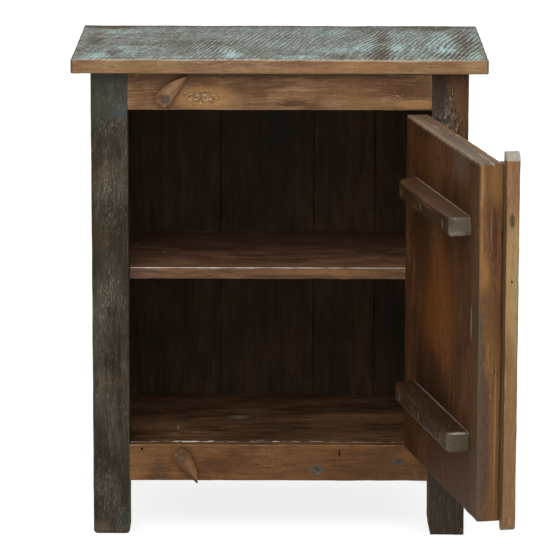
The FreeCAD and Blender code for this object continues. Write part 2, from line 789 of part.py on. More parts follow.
# Door boards. Two layers of upright boards with their seams apart, glued face to face.
layers = (
    ("outer", door_outer, layer_joint, OUTER_SEAM_SHARES),
    ("inner", layer_joint, door_inner, INNER_SEAM_SHARES),
)
for word, start, end, shares in layers:
    for number, (near_share, far_share) in enumerate(zip(shares, shares[1:]), 1):
        low = (door_edge - door_width * far_share, start, door_bottom)
        high = (door_edge - door_width * near_share, end, door_top)
        board = cut(box(low, high), batten_nail_holes, strip_nail_holes)
        if number == 1:
            board = cut(board, *door_hinge_tools)
        on_door(f"door_{word}_board_{number}", board)

# Turn buttons. A leaf-shaped piece of wood on each front rail turns on one screw, whose head is
# flush with it. The screw stays with the rail.
button_face = front - S.button_stand_off - S.button_thickness
button_spots = {
    "upper": (S.upper_button_inset, under_top - S.upper_button_drop, S.upper_button_angle, -1),
    "lower": (S.lower_button_inset, opening_bottom - S.lower_button_drop, S.lower_button_angle, 1),
}
pivot_holes = []
for word, (inset, z, angle, axis_sign) in button_spots.items():
    x = inset - leg_inner
    corners = []
    for along, across, bend in BUTTON_OUTLINE_SHARES:
        u = S.button_length * along
        v = S.button_half_width * across if across else 0
        corners.append((u, v, S.button_length * bend if bend else 0))
    body, sketch = body_outline("XZ_Plane", corners, 0)
    pad(body, sketch, S.button_thickness)
    gap = S.pivot_head_clearance
    recess = cylinder(S.pivot_head_radius + gap, S.pivot_head_thickness + gap + S.cut_overrun,
                      (0, -S.button_thickness - S.cut_overrun, 0), TO_BACK)
    bore = cylinder(S.pivot_screw_radius + S.hole_clearance,
                    S.button_thickness + S.cut_overrun * 2,
                    (0, -S.button_thickness - S.cut_overrun, 0), TO_BACK)
    turned = place(group([cut(body, together([recess, bore]))]),
                   (x, front - S.button_stand_off, z))
    turned.Placement.Rotation = Rotation(Vector(0, axis_sign, 0), angle.value)
    turned.setExpression("Placement.Rotation.Angle", angle.text)
    keep(f"{word}_turn_button", turned)
    at = (x, button_face, z)
    head = cylinder(S.pivot_head_radius, S.pivot_head_thickness, at, TO_BACK)
    shank = cylinder(S.pivot_screw_radius, S.pivot_screw_length, at, TO_BACK)
    keep(f"{word}_button_screw", together([head, shank]))
    pivot_holes.append(cylinder(S.pivot_screw_radius + S.hole_clearance,
                                S.pivot_screw_length + S.hole_clearance, at, TO_BACK))
pivot_tool = group(pivot_holes)
keep("front_top_rail", cut(front_top_rail, pivot_tool))
keep("front_bottom_rail", cut(front_bottom_rail, pivot_tool))

# Legs. Square posts with rubbed upright edges, the mortises and grooves, and the worn feet.
leg_places = {
    "front_left": (-half_width, -leg_inner, front, front_leg_back),
    "front_right": (leg_inner, half_width, front, front_leg_back),
    "back_left": (-half_width, -back_leg_inner, back_leg_front, back),
    "back_right": (back_leg_inner, half_width, back_leg_front, back),
}
for name, (left, right, near_y, far_y) in leg_places.items():
    corners = ((left, near_y, 0), (right, near_y, 0), (right, far_y, 0), (left, far_y, 0))
    body, sketch = body_outline("XY_Plane", corners, 0)
    post = pad(body, sketch, under_top)

    def upright(a, b):
        return near(a.x, b.x) and near(a.y, b.y)

    post = round_edges(body, post, S.leg_arris_radius, upright)

    def inner_foot(a, b):
        return near(a.z, 0) and near(b.z, 0) and near(a.x, b.x) and near(abs(a.x), leg_inner)

    side = name.split("_")[1]
    tools = mortises[name] + [grooves[side]]
    if name == "front_right":
        corners = (
            (leg_inner, 0, 0),
            (leg_inner + S.foot_chamfer_width, 0, 0),
            (leg_inner, S.foot_chamfer_height, 0),
        )
        worn, sketch = body_outline("XZ_Plane", corners, -front_leg_back)
        pad(worn, sketch, S.front_leg_size)
        tools += [leg_hinge_tools, worn]
    elif name == "front_left":
        round_edges(body, post, S.foot_round_radius, inner_foot)
    keep(f"{name}_leg", cut(body, *tools))

doc.recompute()

for item in doc.Objects:
    if "Invalid" in item.State or "Error" in item.State:
        raise RuntimeError(f"{item.Label} failed: {item.State}")
for label, item in pieces.items():
    if item.Shape.isNull() or not item.Shape.isValid() or not item.Shape.Solids:
        raise RuntimeError(f"{label} has no valid solid")
    if min(solid.Volume for solid in item.Shape.Solids) <= 0:
        raise RuntimeError(f"{label} has an empty solid")

os.makedirs("parts", exist_ok=True)
for label, item in pieces.items():
    item.Shape.exportStep(os.path.join("parts", f"{label}.step"))
print(len(pieces), "pieces,", sum(len(item.Shape.Solids) for item in pieces.values()), "solids")
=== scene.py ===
"""A small nightstand in reclaimed timber: worn paint on the top, waxed brown timber below it, and a
ledged door that stands open. All lengths named in mm are millimetres; meshes are in metres."""

import math

import bmesh
import bpy
from mathutils import Euler, Matrix, Vector, noise


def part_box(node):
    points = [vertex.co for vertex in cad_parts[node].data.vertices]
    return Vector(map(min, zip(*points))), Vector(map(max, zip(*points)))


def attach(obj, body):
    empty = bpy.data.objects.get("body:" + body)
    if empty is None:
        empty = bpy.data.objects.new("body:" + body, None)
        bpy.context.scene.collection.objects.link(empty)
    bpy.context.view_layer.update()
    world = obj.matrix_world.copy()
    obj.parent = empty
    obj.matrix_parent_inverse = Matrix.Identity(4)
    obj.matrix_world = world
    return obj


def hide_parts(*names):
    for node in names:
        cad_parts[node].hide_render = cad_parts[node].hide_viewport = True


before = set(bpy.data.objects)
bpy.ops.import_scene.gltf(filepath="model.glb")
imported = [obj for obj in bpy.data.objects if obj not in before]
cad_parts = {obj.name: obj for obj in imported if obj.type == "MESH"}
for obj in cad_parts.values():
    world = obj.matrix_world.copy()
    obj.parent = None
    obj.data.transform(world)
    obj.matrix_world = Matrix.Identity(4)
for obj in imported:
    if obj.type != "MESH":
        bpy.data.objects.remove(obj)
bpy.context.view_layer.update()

# Top
# Three boards of sawn timber, glued edge to edge. The band saw left slanting ridges, and most of
# a grey-turquoise paint is rubbed off them. The edges are bare brown wood, waxed and rubbed.
MM = 0.001
# What counts as one place, how near doubled vertices lie, and from what angle an edge is sharp
NEAR = 0.01 * MM
WELD = 0.005 * MM
SHARP = math.radians(40)
# Worn arrises and planed faces vary by a slow noise and a quick one, with these sizes
SLOW = 38 * MM
QUICK = 9 * MM
# In mm: how close a dent is cut, how wide its pits are, and how long they are in long pieces
DENT_CUT = 1.5
PIT = 2.5
LONG_PIT = 6
LONG = 200


def within(value, low=0, high=1):
    """A value, kept between two others."""
    return min(high, max(low, value))


def spaced(low, high, step, arris):
    """Cutting places from low to high in mm: two in each arris, one past it, then evenly."""
    start = low + 2 * arris
    run = high - low - 4 * arris
    count = max(1, round(run / step))
    ends = [low + 0.35 * arris, low + arris, high - arris, high - 0.35 * arris]
    return ends + [start + run * n / count for n in range(count + 1)]


def cut(bm, skin, axis, places):
    """Cut part of a mesh, its skin, by planes across an axis, and return the part."""
    across = Vector((0, 0, 0))
    across[axis] = 1
    for place in places:
        skin = bmesh.ops.bisect_plane(
            bm, geom=skin, dist=NEAR, plane_co=across * place * MM, plane_no=across)["geom"]
    return skin


def face_skin(bm, face, centre, half):
    """The faces of a mesh that look one way and lie within the half sizes, with their edges."""
    normal = "xyz".index(face[0])
    sign = 1 if face[1] == "+" else -1
    found = []
    for side in bm.faces:
        if side.normal[normal] * sign > 0.9:
            spans = [sorted(vert.co[axis] / MM for vert in side.verts) for axis in range(3)]
            if all(span[0] <= centre[axis] + half[axis] and span[-1] >= centre[axis] - half[axis]
                   for axis, span in enumerate(spans)):
                found.append(side)
    edges = {edge for side in found for edge in side.edges}
    verts = {vert for edge in edges for vert in edge.verts}
    return [*verts, *edges, *found]


def merged(node):
    """A copy of a CAD node's mesh, with its doubled vertices merged."""
    bm = bmesh.new()
    bm.from_mesh(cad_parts[node].data)
    bmesh.ops.remove_doubles(bm, verts=bm.verts, dist=WELD)
    return bm


def worn_piece(node, faces, arris, sink=0.3, seams="", step=7, dents=(), shut=None, combs=()):
    """The skin of a block-shaped CAD piece, cut by planes across each axis and then worn. The
    arrises between the named faces are rounded unevenly and the faces are planed a little
    hollow. A seam is a face against a neighbour: it gets a groove, but is neither planed nor
    worn. A dent has a face, a centre, half sizes, a depth and whether it is ragged. Combs are
    places of more cuts across x on the upper face. The values "worn" and "dent" tell the
    material where hands and tools have been."""
    bm = merged(node)
    if shut:
        bmesh.ops.transform(bm, matrix=shut, verts=bm.verts)
    low = [min(vert.co[axis] for vert in bm.verts) / MM for axis in range(3)]
    high = [max(vert.co[axis] for vert in bm.verts) / MM for axis in range(3)]
    if combs:
        bm.normal_update()
        whole_face = face_skin(bm, "z+", (0, 0, high[2]), (400, 400, 1))
        cut(bm, whole_face, 0, combs)
    skin = bm.verts[:] + bm.edges[:] + bm.faces[:]
    for axis in sorted(range(3), key=lambda axis: low[axis] - high[axis]):
        skin = cut(bm, skin, axis, spaced(low[axis], high[axis], step, arris))
    for face, centre, half, _, _ in dents:
        bm.normal_update()
        skin = face_skin(bm, face, centre, half)
        for axis in range(3):
            if "xyz"[axis] != face[0]:
                fine = max(2, math.ceil(half[axis] / DENT_CUT))
                places = [centre[axis] + half[axis] * n / fine for n in range(-fine, fine + 1)]
                skin = cut(bm, skin, axis, places)
    worn = bm.verts.layers.float.new("worn")
    dent = bm.verts.layers.float.new("dent")
    pits = [LONG_PIT if high[axis] - low[axis] > LONG else PIT for axis in range(3)]
    pit = Matrix.Diagonal([1 / (size * MM) for size in pits])
    low = Vector(low) * MM
    high = Vector(high) * MM
    for vert in bm.verts:
        at = vert.co.copy()
        slow = noise.noise(at / SLOW)
        quick = noise.noise(at / QUICK)
        wear = arris * MM * within(1 + 0.8 * slow + 0.5 * quick, 0.5, 1.7)
        # How far it lies past the bounds: along one axis on a face, along more on an arris
        out = Vector((0, 0, 0))
        seam = False
        for axis, letter in enumerate("xyz"):
            for sign, bound in (("-", low[axis] + wear), ("+", high[axis] - wear)):
                past = at[axis] - bound
                if letter + sign in faces + seams and past * (1 if sign == "+" else -1) > 0:
                    out[axis] = past
                    seam = seam or letter + sign in seams
        reach = out.length
        if reach == 0:
            continue
        steepest = max(abs(part) for part in out) / reach
        if steepest < 0.999:
            # On an arris, which is rounded and worn most in its middle
            at -= out * max(0, 1 - wear / reach)
            if not seam:
                vert[worn] = math.sqrt(min(1, (1 - steepest) / (1 - math.sqrt(0.5))))
        elif seam or reach < wear - NEAR:
            continue
        depth = sink * MM * max(0.4, 0.5 + 0.5 * slow + 0.25 * quick)
        for face, centre, half, hollow, ragged in dents:
            normal = "xyz".index(face[0])
            if abs(out[normal]) < wear - NEAR or (out[normal] > 0) != (face[1] == "+"):
                continue
            away = Vector([(vert.co[axis] / MM - centre[axis]) / half[axis]
                           for axis in range(3) if axis != normal]).length
            share = within(1.5 - 1.5 * away)
            if ragged:
                share *= within(0.3 + 2.4 * noise.noise(pit @ vert.co))
            vert[dent] = max(vert[dent], share)
            depth += hollow * MM * share
        vert.co = at - out / reach * depth
    return bm


def dressed(bm, node, body, material, turned=None, made="worn_"):
    """Finish a piece: turn it into its place, and let it stand for its CAD node. Its name says
    how it was made."""
    if turned:
        bmesh.ops.transform(bm, matrix=turned, verts=bm.verts)
    mesh = bpy.data.meshes.new(made + node)
    bm.to_mesh(mesh)
    bm.free()
    mesh.shade_smooth()
    mesh.set_sharp_from_angle(angle=SHARP)
    mesh.materials.append(material)
    piece = bpy.data.objects.new(made + node, mesh)
    bpy.context.collection.objects.link(piece)
    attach(piece, body)
    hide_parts(node)


def linear(colour):
    """An sRGB hex colour as a linear one with alpha 1."""
    parts = [int(colour[n:n + 2], 16) / 255 for n in (1, 3, 5)]
    return [p / 12.92 if p <= 0.04045 else ((p + 0.055) / 1.055) ** 2.4 for p in parts] + [1]


def add(tree, kind, inputs=None, stops=None, **settings):
    """Add a node with its settings, its values or links and, for a ramp, its stops."""
    node = tree.nodes.new("ShaderNode" + kind)
    for key, value in settings.items():
        setattr(node, key, value)
    for key, value in (inputs or {}).items():
        if isinstance(value, bpy.types.NodeSocket):
            tree.links.new(value, node.inputs[key])
        else:
            node.inputs[key].default_value = value
    if stops:
        elements = node.color_ramp.elements
        elements[0].position = stops[0][0]
        elements[1].position = stops[-1][0]
        for place, _ in stops[1:-1]:
            elements.new(place)
        for element, (_, colour) in zip(elements, stops):
            element.color = linear(colour)
    return node


def maths(tree, operation, *values):
    """What a Math node makes of some values or links."""
    return add(tree, "Math", dict(enumerate(values)), operation=operation).outputs[0]


def ranged(tree, value, low, high, top=1, bottom=0, **settings):
    """Where a value lies from low to high, as a number from bottom to top."""
    inputs = {"Value": value, "From Min": low, "From Max": high, "To Min": bottom, "To Max": top}
    return add(tree, "MapRange", inputs, **settings).outputs[0]


def mixed(tree, share, under, over):
    """A colour with a share of another laid over it, which may be a hex one."""
    over = linear(over) if isinstance(over, str) else over
    return add(tree, "Mix", {0: share, 6: under, 7: over}, data_type="RGBA").outputs[2]


def scaled(tree, colour, share):
    """A colour made darker or lighter."""
    return add(tree, "VectorMath", {0: colour, "Scale": share}, operation="SCALE").outputs[0]


def attribute(tree, name):
    """A value that the mesh holds at each vertex."""
    return add(tree, "Attribute", attribute_name=name).outputs["Fac"]


def new_material(name):
    """A material without nodes yet, and its tree."""
    material = bpy.data.materials.new(name)
    material.use_nodes = True
    material.node_tree.nodes.clear()
    return material, material.node_tree


def waxed_timber(name, grain, tones, streak=5, blotch=60, figure=1, pale="#a08c74", marks=(),
                 scuffs=(), patches=(), rough=(0.5, 0.68), wax=0.15, relief=0.35, handled=0,
                 grimy="#1c140d", centre=(0, 0, 0), turn=(0, 0, 0)):
    """Old timber, brushed and waxed: cloudy stains some cm across, streaks a few mm wide along
    the grain, fine fibres, arrises rubbed pale, and a satin face. Patches are stains, knots and
    holes, each a centre and half sizes in mm, a colour, an amount and how ragged it is. Marks
    are scratches and cracks, each a colour, a threshold, a width and a length in mm, and
    scuffs are places where they lie closer, each a centre, half sizes and how much closer.
    Handled adds to the pale wear of the arrises, and grimy is the dirt in dents."""
    material, tree = new_material(name)
    place = add(tree, "TexCoord").outputs["Object"]
    spot = add(tree, "Mapping", {"Vector": place, "Location": centre, "Rotation": turn,
                                 "Scale": (MM, MM, MM)}, vector_type="TEXTURE").outputs[0]
    # The grain wanders by up to 11 mm to either side
    drift = add(tree, "TexNoise", {"Vector": spot, "Scale": 1 / 110, "Detail": 2}).outputs["Color"]
    push = add(tree, "VectorMath", {0: drift, 1: (22, 22, 22), 2: (-11, -11, -11)},
               operation="MULTIPLY_ADD").outputs[0]
    bent = add(tree, "VectorMath", {0: spot, 1: push}, operation="ADD").outputs[0]

    def stretched(vector, across, along, detail, harshness):
        """Noise with one size in mm across the grain and another along it."""
        sizes = [1 / across] * 3
        sizes["xyz".index(grain)] = 1 / along
        run = add(tree, "VectorMath", {0: vector, 1: sizes}, operation="MULTIPLY").outputs[0]
        return add(tree, "TexNoise", {"Vector": run, "Scale": 1, "Detail": detail,
                                      "Roughness": harshness}).outputs["Fac"]

    def distance(middle, sizes):
        """How far away a place's centre is, in its half sizes."""
        inside = add(tree, "Mapping", {"Vector": spot, "Location": middle, "Scale": sizes},
                     vector_type="TEXTURE").outputs[0]
        return add(tree, "VectorMath", {0: inside}, operation="LENGTH").outputs["Value"]

    streaks = stretched(bent, streak, streak * 15, 5, 0.65)
    clouds = stretched(spot, blotch, blotch * 2, 4, 0.6)
    fibres = stretched(bent, 1.3, 16, 5, 0.75)
    part = maths(tree, "MULTIPLY", streaks, 0.35)
    tone = maths(tree, "MULTIPLY_ADD", clouds, 0.65, part)
    stops = list(zip((0.4, 0.5, 0.6), tones))
    colour = add(tree, "ValToRGB", {"Fac": tone}, stops).outputs["Color"]
    # The sum of the two noises is 1 on average, and a patch ends where its distance is 1
    both = maths(tree, "ADD", streaks, fibres)
    for middle, sizes, tint, amount, ragged in patches:
        wander = ragged * 3
        edge = maths(tree, "MULTIPLY_ADD", both, wander, distance(middle, sizes))
        soft = 0.05 + 0.6 * ragged
        cover = ranged(tree, edge, 1 + wander + soft, 1 + wander - soft, amount,
                       interpolation_type="SMOOTHSTEP")
        colour = mixed(tree, cover, colour, tint)
    shade = ranged(tree, streaks, 0.3, 0.7, 1 + 0.3 * figure, 1 - 0.3 * figure)
    fuzz = ranged(tree, fibres, 0.3, 0.7, 1 + 0.36 * figure, 1 - 0.36 * figure)
    colour = scaled(tree, colour, maths(tree, "MULTIPLY", shade, fuzz))
    height = maths(tree, "MULTIPLY_ADD", fibres, 0.6, streaks)
    # Marks lie closer where the stains are pale, and in the scuffs
    cloudy = 0.35
    closer = maths(tree, "MULTIPLY", clouds, cloudy)
    for middle, sizes, more in scuffs:
        here = ranged(tree, distance(middle, sizes), 1.3, 0.4, more)
        closer = maths(tree, "ADD", closer, here)
    for tint, threshold, width, length in marks:
        nicks = maths(tree, "ADD", closer, stretched(bent, width, length, 3, 0.5))
        start = threshold + cloudy / 2
        scored = ranged(tree, nicks, start, start + 0.07, 0.8)
        colour = mixed(tree, scored, colour, tint)
        height = maths(tree, "MULTIPLY_ADD", scored, -0.8, height)
    dirt = maths(tree, "MULTIPLY", attribute(tree, "dent"), 0.75)
    colour = mixed(tree, dirt, colour, grimy)
    # The wax is rubbed through in places of some 14 mm along the worn arrises
    # On the shelf, the pale arris also stands for a painted highlight
    rubbed_and_sheen = attribute(tree, "worn")
    gaps = add(tree, "TexNoise", {"Vector": spot, "Scale": 1 / 14, "Detail": 4}).outputs["Fac"]
    lifted = maths(tree, "MULTIPLY_ADD", gaps, 2.4, handled - 1.2)
    arris = ranged(tree, maths(tree, "ADD", rubbed_and_sheen, lifted), 0.35, 0.95, 0.9)
    colour = mixed(tree, maths(tree, "MULTIPLY", arris, rubbed_and_sheen), colour, pale)
    gloss = ranged(tree, tone, 0.38, 0.62, rough[1], rough[0])
    bump = add(tree, "Bump", {"Height": height, "Strength": 0.8,
                              "Distance": relief * MM}).outputs[0]
    surface = add(tree, "BsdfPrincipled", {"Base Color": colour, "Roughness": gloss,
                                           "Normal": bump, "IOR": 1.5, "Specular IOR Level": wax})
    add(tree, "OutputMaterial", {"Surface": surface.outputs[0]})
    return material


# The edges of the top in mm
TOP_END = 280
TOP_FRONT = -183
TOP_BACK = 168
TOP_UNDER = 644
TOP_FACE = 663.5


def worn_paint(name):
    """Milk paint on sawn timber, nearly rubbed off: thin grey-turquoise left in strokes along the
    saw's ridges, brighter where it is thick, over grey-brown wood. It starts as bare waxed
    timber, which shows at the edges, and the paint lies only on the upper face."""
    material = waxed_timber(
        name, "x", ("#826045", "#8e6f54", "#9b7d62"), streak=4, blotch=20, figure=0.6,
        pale="#c4ab8c", rough=(0.6, 0.75), wax=0.1, relief=0.3, handled=0.6,
        marks=(("#5f462d", 0.67, 1.5, 14),),
        patches=(((0, TOP_FRONT, 646), (420, 60, 7), "#976d45", 0.5, 0.4),
                 ((15, TOP_FRONT, 661), (75, 8, 5), "#7c5a3a", 0.7, 0.5),
                 ((-190, TOP_FRONT, 658), (60, 8, 8), "#94744f", 0.6, 0.6),
                 ((200, TOP_FRONT, 652), (50, 8, 10), "#82603f", 0.5, 0.6),
                 ((-90, TOP_FRONT, 653), (30, 8, 9), "#7f6046", 0.6, 1),
                 ((110, TOP_FRONT, 655), (34, 8, 7), "#a07a4c", 0.6, 1),
                 ((262, TOP_FRONT, 654), (16, 8, 10), "#a38257", 0.6, 0.8)))
    tree = material.node_tree
    surface = tree.nodes["Principled BSDF"]
    bare = surface.inputs["Base Color"].links[0].from_socket
    spot = tree.nodes["Mapping"].outputs[0]
    height = tree.nodes["Bump"].inputs["Height"].links[0].from_socket
    axes = add(tree, "SeparateXYZ", {0: spot}).outputs

    def veil(vector, across, along, detail, seed):
        """Noise with one size in mm from side to side and another from front to back."""
        run = add(tree, "Mapping", {"Vector": vector, "Location": (seed, 0, 0),
                                    "Scale": (1 / across, 1 / along, 1)}).outputs[0]
        return add(tree, "TexNoise", {"Vector": run, "Scale": 1, "Detail": detail,
                                      "Roughness": 0.6}).outputs["Fac"]

    ridge = attribute(tree, "ridge")
    wave = maths(tree, "SINE", maths(tree, "MULTIPLY", ridge, 2 * math.pi))
    along = add(tree, "CombineXYZ", {0: ridge, 1: axes["Y"]}).outputs[0]
    stroke = veil(along, 1.1, 70, 3, 2)
    fleck = veil(along, 0.3, 14, 3, 7)
    broad = veil(spot, 62, 75, 4, 3)
    # Strokes of the brush from side to side, strongest towards the left end
    brushed = maths(tree, "ADD", veil(spot, 60, 7, 4, 11), -0.5)
    brushed = maths(tree, "MULTIPLY", brushed, ranged(tree, axes["X"], -180, -40, 1.5, 4))
    sawn = attribute(tree, "sawn")
    laid = attribute(tree, "laid")
    for source, weight in ((stroke, 3.6), (fleck, 5.2), (brushed, 1), (broad, 1.6)):
        laid = maths(tree, "MULTIPLY_ADD", source, weight, laid)
    laid = maths(tree, "MULTIPLY_ADD", wave, sawn, laid)
    # Half the sum of the weights of stroke, fleck and broad; brushed varies round 0
    middle = 5.2
    thin = ranged(tree, laid, middle - 1.45, middle + 1.35)
    layers = add(tree, "ValToRGB", {"Fac": thin}, [
        (0.0, "#4f4434"), (0.25, "#68655a"), (0.5, "#7c8178"), (0.75, "#8d988f"),
        (1.0, "#a6b4ad")]).outputs["Color"]
    # Thick paint is turquoise, and chalky white where its crust is rubbed
    rich = maths(tree, "ADD", veil(spot, 26, 60, 3, 21), attribute(tree, "rich"))
    rich = maths(tree, "MULTIPLY_ADD", veil(spot, 4, 16, 4, 31), 1.3, rich)
    bright = maths(tree, "MULTIPLY", rich, thin)
    layers = mixed(tree, ranged(tree, bright, 1.1, 1.55, 0.85), layers, "#94b9b8")
    chalky = ranged(tree, maths(tree, "MULTIPLY", fleck, bright), 0.58, 0.9, 0.8)
    layers = mixed(tree, chalky, layers, "#c3dedd")
    # The paint ends in a ragged line where the upper face rounds off
    up = add(tree, "SeparateXYZ", {0: add(tree, "NewGeometry").outputs["Normal"]}).outputs["Z"]
    edge = maths(tree, "MULTIPLY_ADD", fleck, 0.3, up)
    cover = ranged(tree, edge, 1.02, 1.1)
    sawn_front = ranged(tree, veil(spot, 3, 300, 2, 40), 0.3, 0.7, 1.12, 0.88)
    colour = mixed(tree, cover, scaled(tree, bare, sawn_front), layers)
    # The lowest 3 mm are darker. The end grain has soaked up the wax and is dark to its arrises
    under = ranged(tree, axes["Z"], TOP_UNDER + 3, TOP_UNDER + 0.3, 0.8)
    colour = mixed(tree, under, colour, "#664729")
    outward = maths(tree, "ABSOLUTE", axes["X"])
    ends = ranged(tree, outward, TOP_END - 3.5, TOP_END - 0.8, 0.85)
    colour = mixed(tree, ends, colour, "#43372a")
    tree.links.new(colour, surface.inputs["Base Color"])
    raised = maths(tree, "MULTIPLY", thin, cover)
    raised = maths(tree, "MULTIPLY_ADD", raised, 0.9, height)
    tree.links.new(raised, tree.nodes["Bump"].inputs["Height"])
    return material


# Broken strokes of a chalky grey-turquoise, matt, over bare wood with a soft gleam at the edges
paint = worn_paint("milk_paint_on_sawn_timber")
# Where the saw left deeper ridges, where the paint is gone and where it is thick: each place has
# its centre and half sizes in mm, and how much more or less
sawn_spots = (
    ((-110, -75), (60, 70), 0.5), ((-15, 60), (90, 90), 0.3),
    ((140, -40), (26, 170), 0.9), ((245, -60), (40, 150), 0.8),
    ((-235, -150), (50, 50), 0.3))
bare_spots = (
    ((142, 40), (9, 125), -1.2), ((138, -90), (11, 90), -1.2),
    ((133, -160), (16, 40), -1.1), ((254, -20), (12, 110), -1.3),
    ((236, -140), (24, 26), -0.9), ((215, 140), (40, 26), -1.3),
    ((118, 120), (20, 36), -0.8), ((-235, 150), (40, 18), -1.6),
    ((-258, 10), (10, 60), -1.1), ((-225, -120), (12, 26), -1.1),
    ((-125, -30), (40, 50), -0.7), ((-110, -168), (50, 12), -0.9),
    ((0, 166), (400, 15), -1.2), ((80, -150), (14, 30), -0.8))
thick_spots = (
    ((-245, -135), (14, 26), 1.3), ((-262, -165), (16, 14), 0.9),
    ((-130, -158), (60, 10), 0.8), ((-62, -140), (14, 26), 1.3),
    ((-72, -95), (12, 40), 0.8), ((226, -85), (13, 20), 1.6),
    ((262, -140), (10, 40), 1.3), ((160, -62), (11, 28), 1.0),
    ((112, -50), (16, 50), 0.8), ((72, -80), (22, 40), 0.6),
    ((26, -150), (30, 14), 1.0), ((225, 20), (16, 90), 0.6),
    ((-225, 100), (24, 24), 0.7), ((-190, -60), (40, 14), 0.7),
    ((60, 90), (50, 40), 0.4), ((185, -20), (40, 120), 0.4),
    ((-60, -180), (330, 5), 0.9))


def spread(spots, x, y, ragged):
    """How much the spots add up to at a place on the top."""
    total = 0
    for (middle_x, middle_y), (half_x, half_y), more in spots:
        away = math.hypot((x - middle_x) / half_x, (y - middle_y) / half_y)
        total += more * within((1.3 - away + ragged) / 0.7)
    return total


# The saw's ridges in mm: how far apart, how slanting, how deep and how closely cut
RIDGE = 6.8
SLANT = 0.21
RIDGE_DEPTH = 0.3
COMB = 1.8
combs = [-TOP_END + COMB * n for n in range(1, int(2 * TOP_END / COMB))]
top_boards = (
    ("top_board_front", "x- x+ y- z- z+"),
    ("top_board_middle", "x- x+ z- z+"),
    ("top_board_back", "x- x+ y+ z- z+"),
)
for node, faces in top_boards:
    bm = worn_piece(node, faces, 2.4, combs=combs)
    ridge, sawn, laid, rich = (
        bm.verts.layers.float.new(name) for name in ("ridge", "sawn", "laid", "rich"))
    for vert in bm.verts:
        x, y, z = vert.co / MM
        if z < TOP_FACE - 5.5:
            continue
        wander = 2.6 * noise.noise(Vector((x / 120, y / 260, 5)))
        wander += 0.4 * noise.noise(Vector((x / 30, y / 60, 9)))
        vert[ridge] = (x - SLANT * y) / RIDGE + wander
        ragged = 0.7 * noise.noise(Vector((1.3 * vert[ridge], y / 50, 3)))
        ragged += 0.9 * noise.noise(Vector((x / 26, y / 6, 8)))
        thicker = spread(thick_spots, x, y, ragged)
        # The ridges are faint at the left end, and the paint is thicker to the right
        vert[sawn] = 0.15 + 0.3 * within((x + 215) / 85) + spread(sawn_spots, x, y, 0)
        vert[laid] = thicker + spread(bare_spots, x, y, ragged)
        vert[rich] = 0.2 * thicker + 0.12 * within((x + 60) / 150)
        inward = within(min(
            (TOP_END - 2 - abs(x)) / 5, (TOP_BACK - 2 - y) / 5, (y - (TOP_FRONT + 1)) / 3,
            z - (TOP_FACE - 1.5)))
        depth = RIDGE_DEPTH / 2 * MM * (1 + math.sin(2 * math.pi * vert[ridge]))
        vert.co.z -= depth * inward
    dressed(bm, node, "carcass", paint)

# Legs
# Four posts of the oldest timber, dark and weathered to an olive grey, brushed so that the hard
# grain stands up, with pale nicks and scratches everywhere. The two at the back are thinner.

# The front plane of the legs and rails in mm
FRONT = -158
# Olive, almost black, rough and dull, and speckled with pale nicks
left_leg_timber = waxed_timber(
    "weathered_post_olive", "z", ("#322c22", "#40392d", "#514a3d"), streak=5, blotch=38,
    figure=0.75, pale="#665e4e", rough=(0.6, 0.8), wax=0.1, relief=0.7, grimy="#2e2921",
    marks=(("#1d1913", 0.68, 1.6, 50), ("#6a6355", 0.6, 1, 20), ("#968d7d", 0.655, 1.3, 5)),
    scuffs=(((-232, FRONT, 568), (26, 20, 14), 0.09), ((-226, FRONT, 440), (24, 20, 60), 0.06),
            ((-238, FRONT, 520), (14, 20, 40), 0.05), ((-229, FRONT, 60), (30, 30, 60), 0.04),
            ((-226, FRONT, 612), (24, 20, 30), 0.05), ((-232, FRONT, 330), (22, 20, 60), 0.03)),
    patches=(((-231, FRONT, 622), (40, 30, 50), "#4f5149", 0.45, 0.8),
             ((-236, FRONT, 505), (12, 12, 16), "#54412e", 0.5, 0.8),
             ((-226, FRONT, 216), (16, 12, 8), "#54402c", 0.5, 0.8),
             ((-229, FRONT, 246), (12, 12, 22), "#28231b", 0.7, 0.8),
             ((-240, FRONT, 420), (10, 12, 30), "#4d3f2e", 0.6, 0.8),
             ((-214, FRONT, 590), (10, 30, 10), "#4b5457", 0.6, 0.8),
             ((-244, FRONT, 8), (12, 30, 11), "#6b5f4a", 0.6, 0.8),
             ((-214, FRONT, 18), (10, 30, 14), "#3d4644", 0.5, 0.8)))
# The same post in brown, with long pale scratches near its upper end
right_leg_timber = waxed_timber(
    "weathered_post_brown", "z", ("#36291d", "#483829", "#5a4635"), streak=5, blotch=34,
    figure=0.9, pale="#6f5f4c", rough=(0.6, 0.8), wax=0.1, relief=0.7, grimy="#2a2018",
    marks=(("#1d1610", 0.65, 1.6, 50), ("#a79e90", 0.66, 1.4, 14), ("#8f8473", 0.67, 1.2, 5)),
    scuffs=(((213, FRONT, 580), (12, 20, 40), 0.09), ((228, FRONT, 590), (7, 20, 60), 0.08),
            ((240, FRONT, 560), (12, 20, 40), 0.08), ((244, FRONT, 620), (10, 20, 20), 0.05)),
    patches=(((240, FRONT, 585), (13, 30, 60), "#704c33", 0.7, 0.9),
             ((212, FRONT, 575), (9, 30, 36), "#57534a", 0.45, 1.2),
             ((230, FRONT, 60), (40, 50, 120), "#3f3b31", 0.6, 0.6)))
pitted_left = (
    ("y-", (-232, FRONT, 568), (24, 1, 14), 0.8, True),
    ("y-", (-226, FRONT, 440), (22, 1, 55), 0.6, True),
    ("y-", (-229, FRONT, 246), (10, 1, 20), 0.7, True),
)
pitted_right = (
    ("y-", (214, FRONT, 575), (12, 1, 30), 0.9, True),
    ("y-", (236, FRONT, 570), (12, 1, 40), 0.7, True),
)
legs = (
    ("front_left_leg", "x- x+ y- y+ z-", "", pitted_left, left_leg_timber),
    ("front_right_leg", "x- x+ y- y+ z-", "", pitted_right, right_leg_timber),
    ("back_left_leg", "x- y- y+ z-", "x+", (), left_leg_timber),
    ("back_right_leg", "x+ y- y+ z-", "x-", (), right_leg_timber),
)
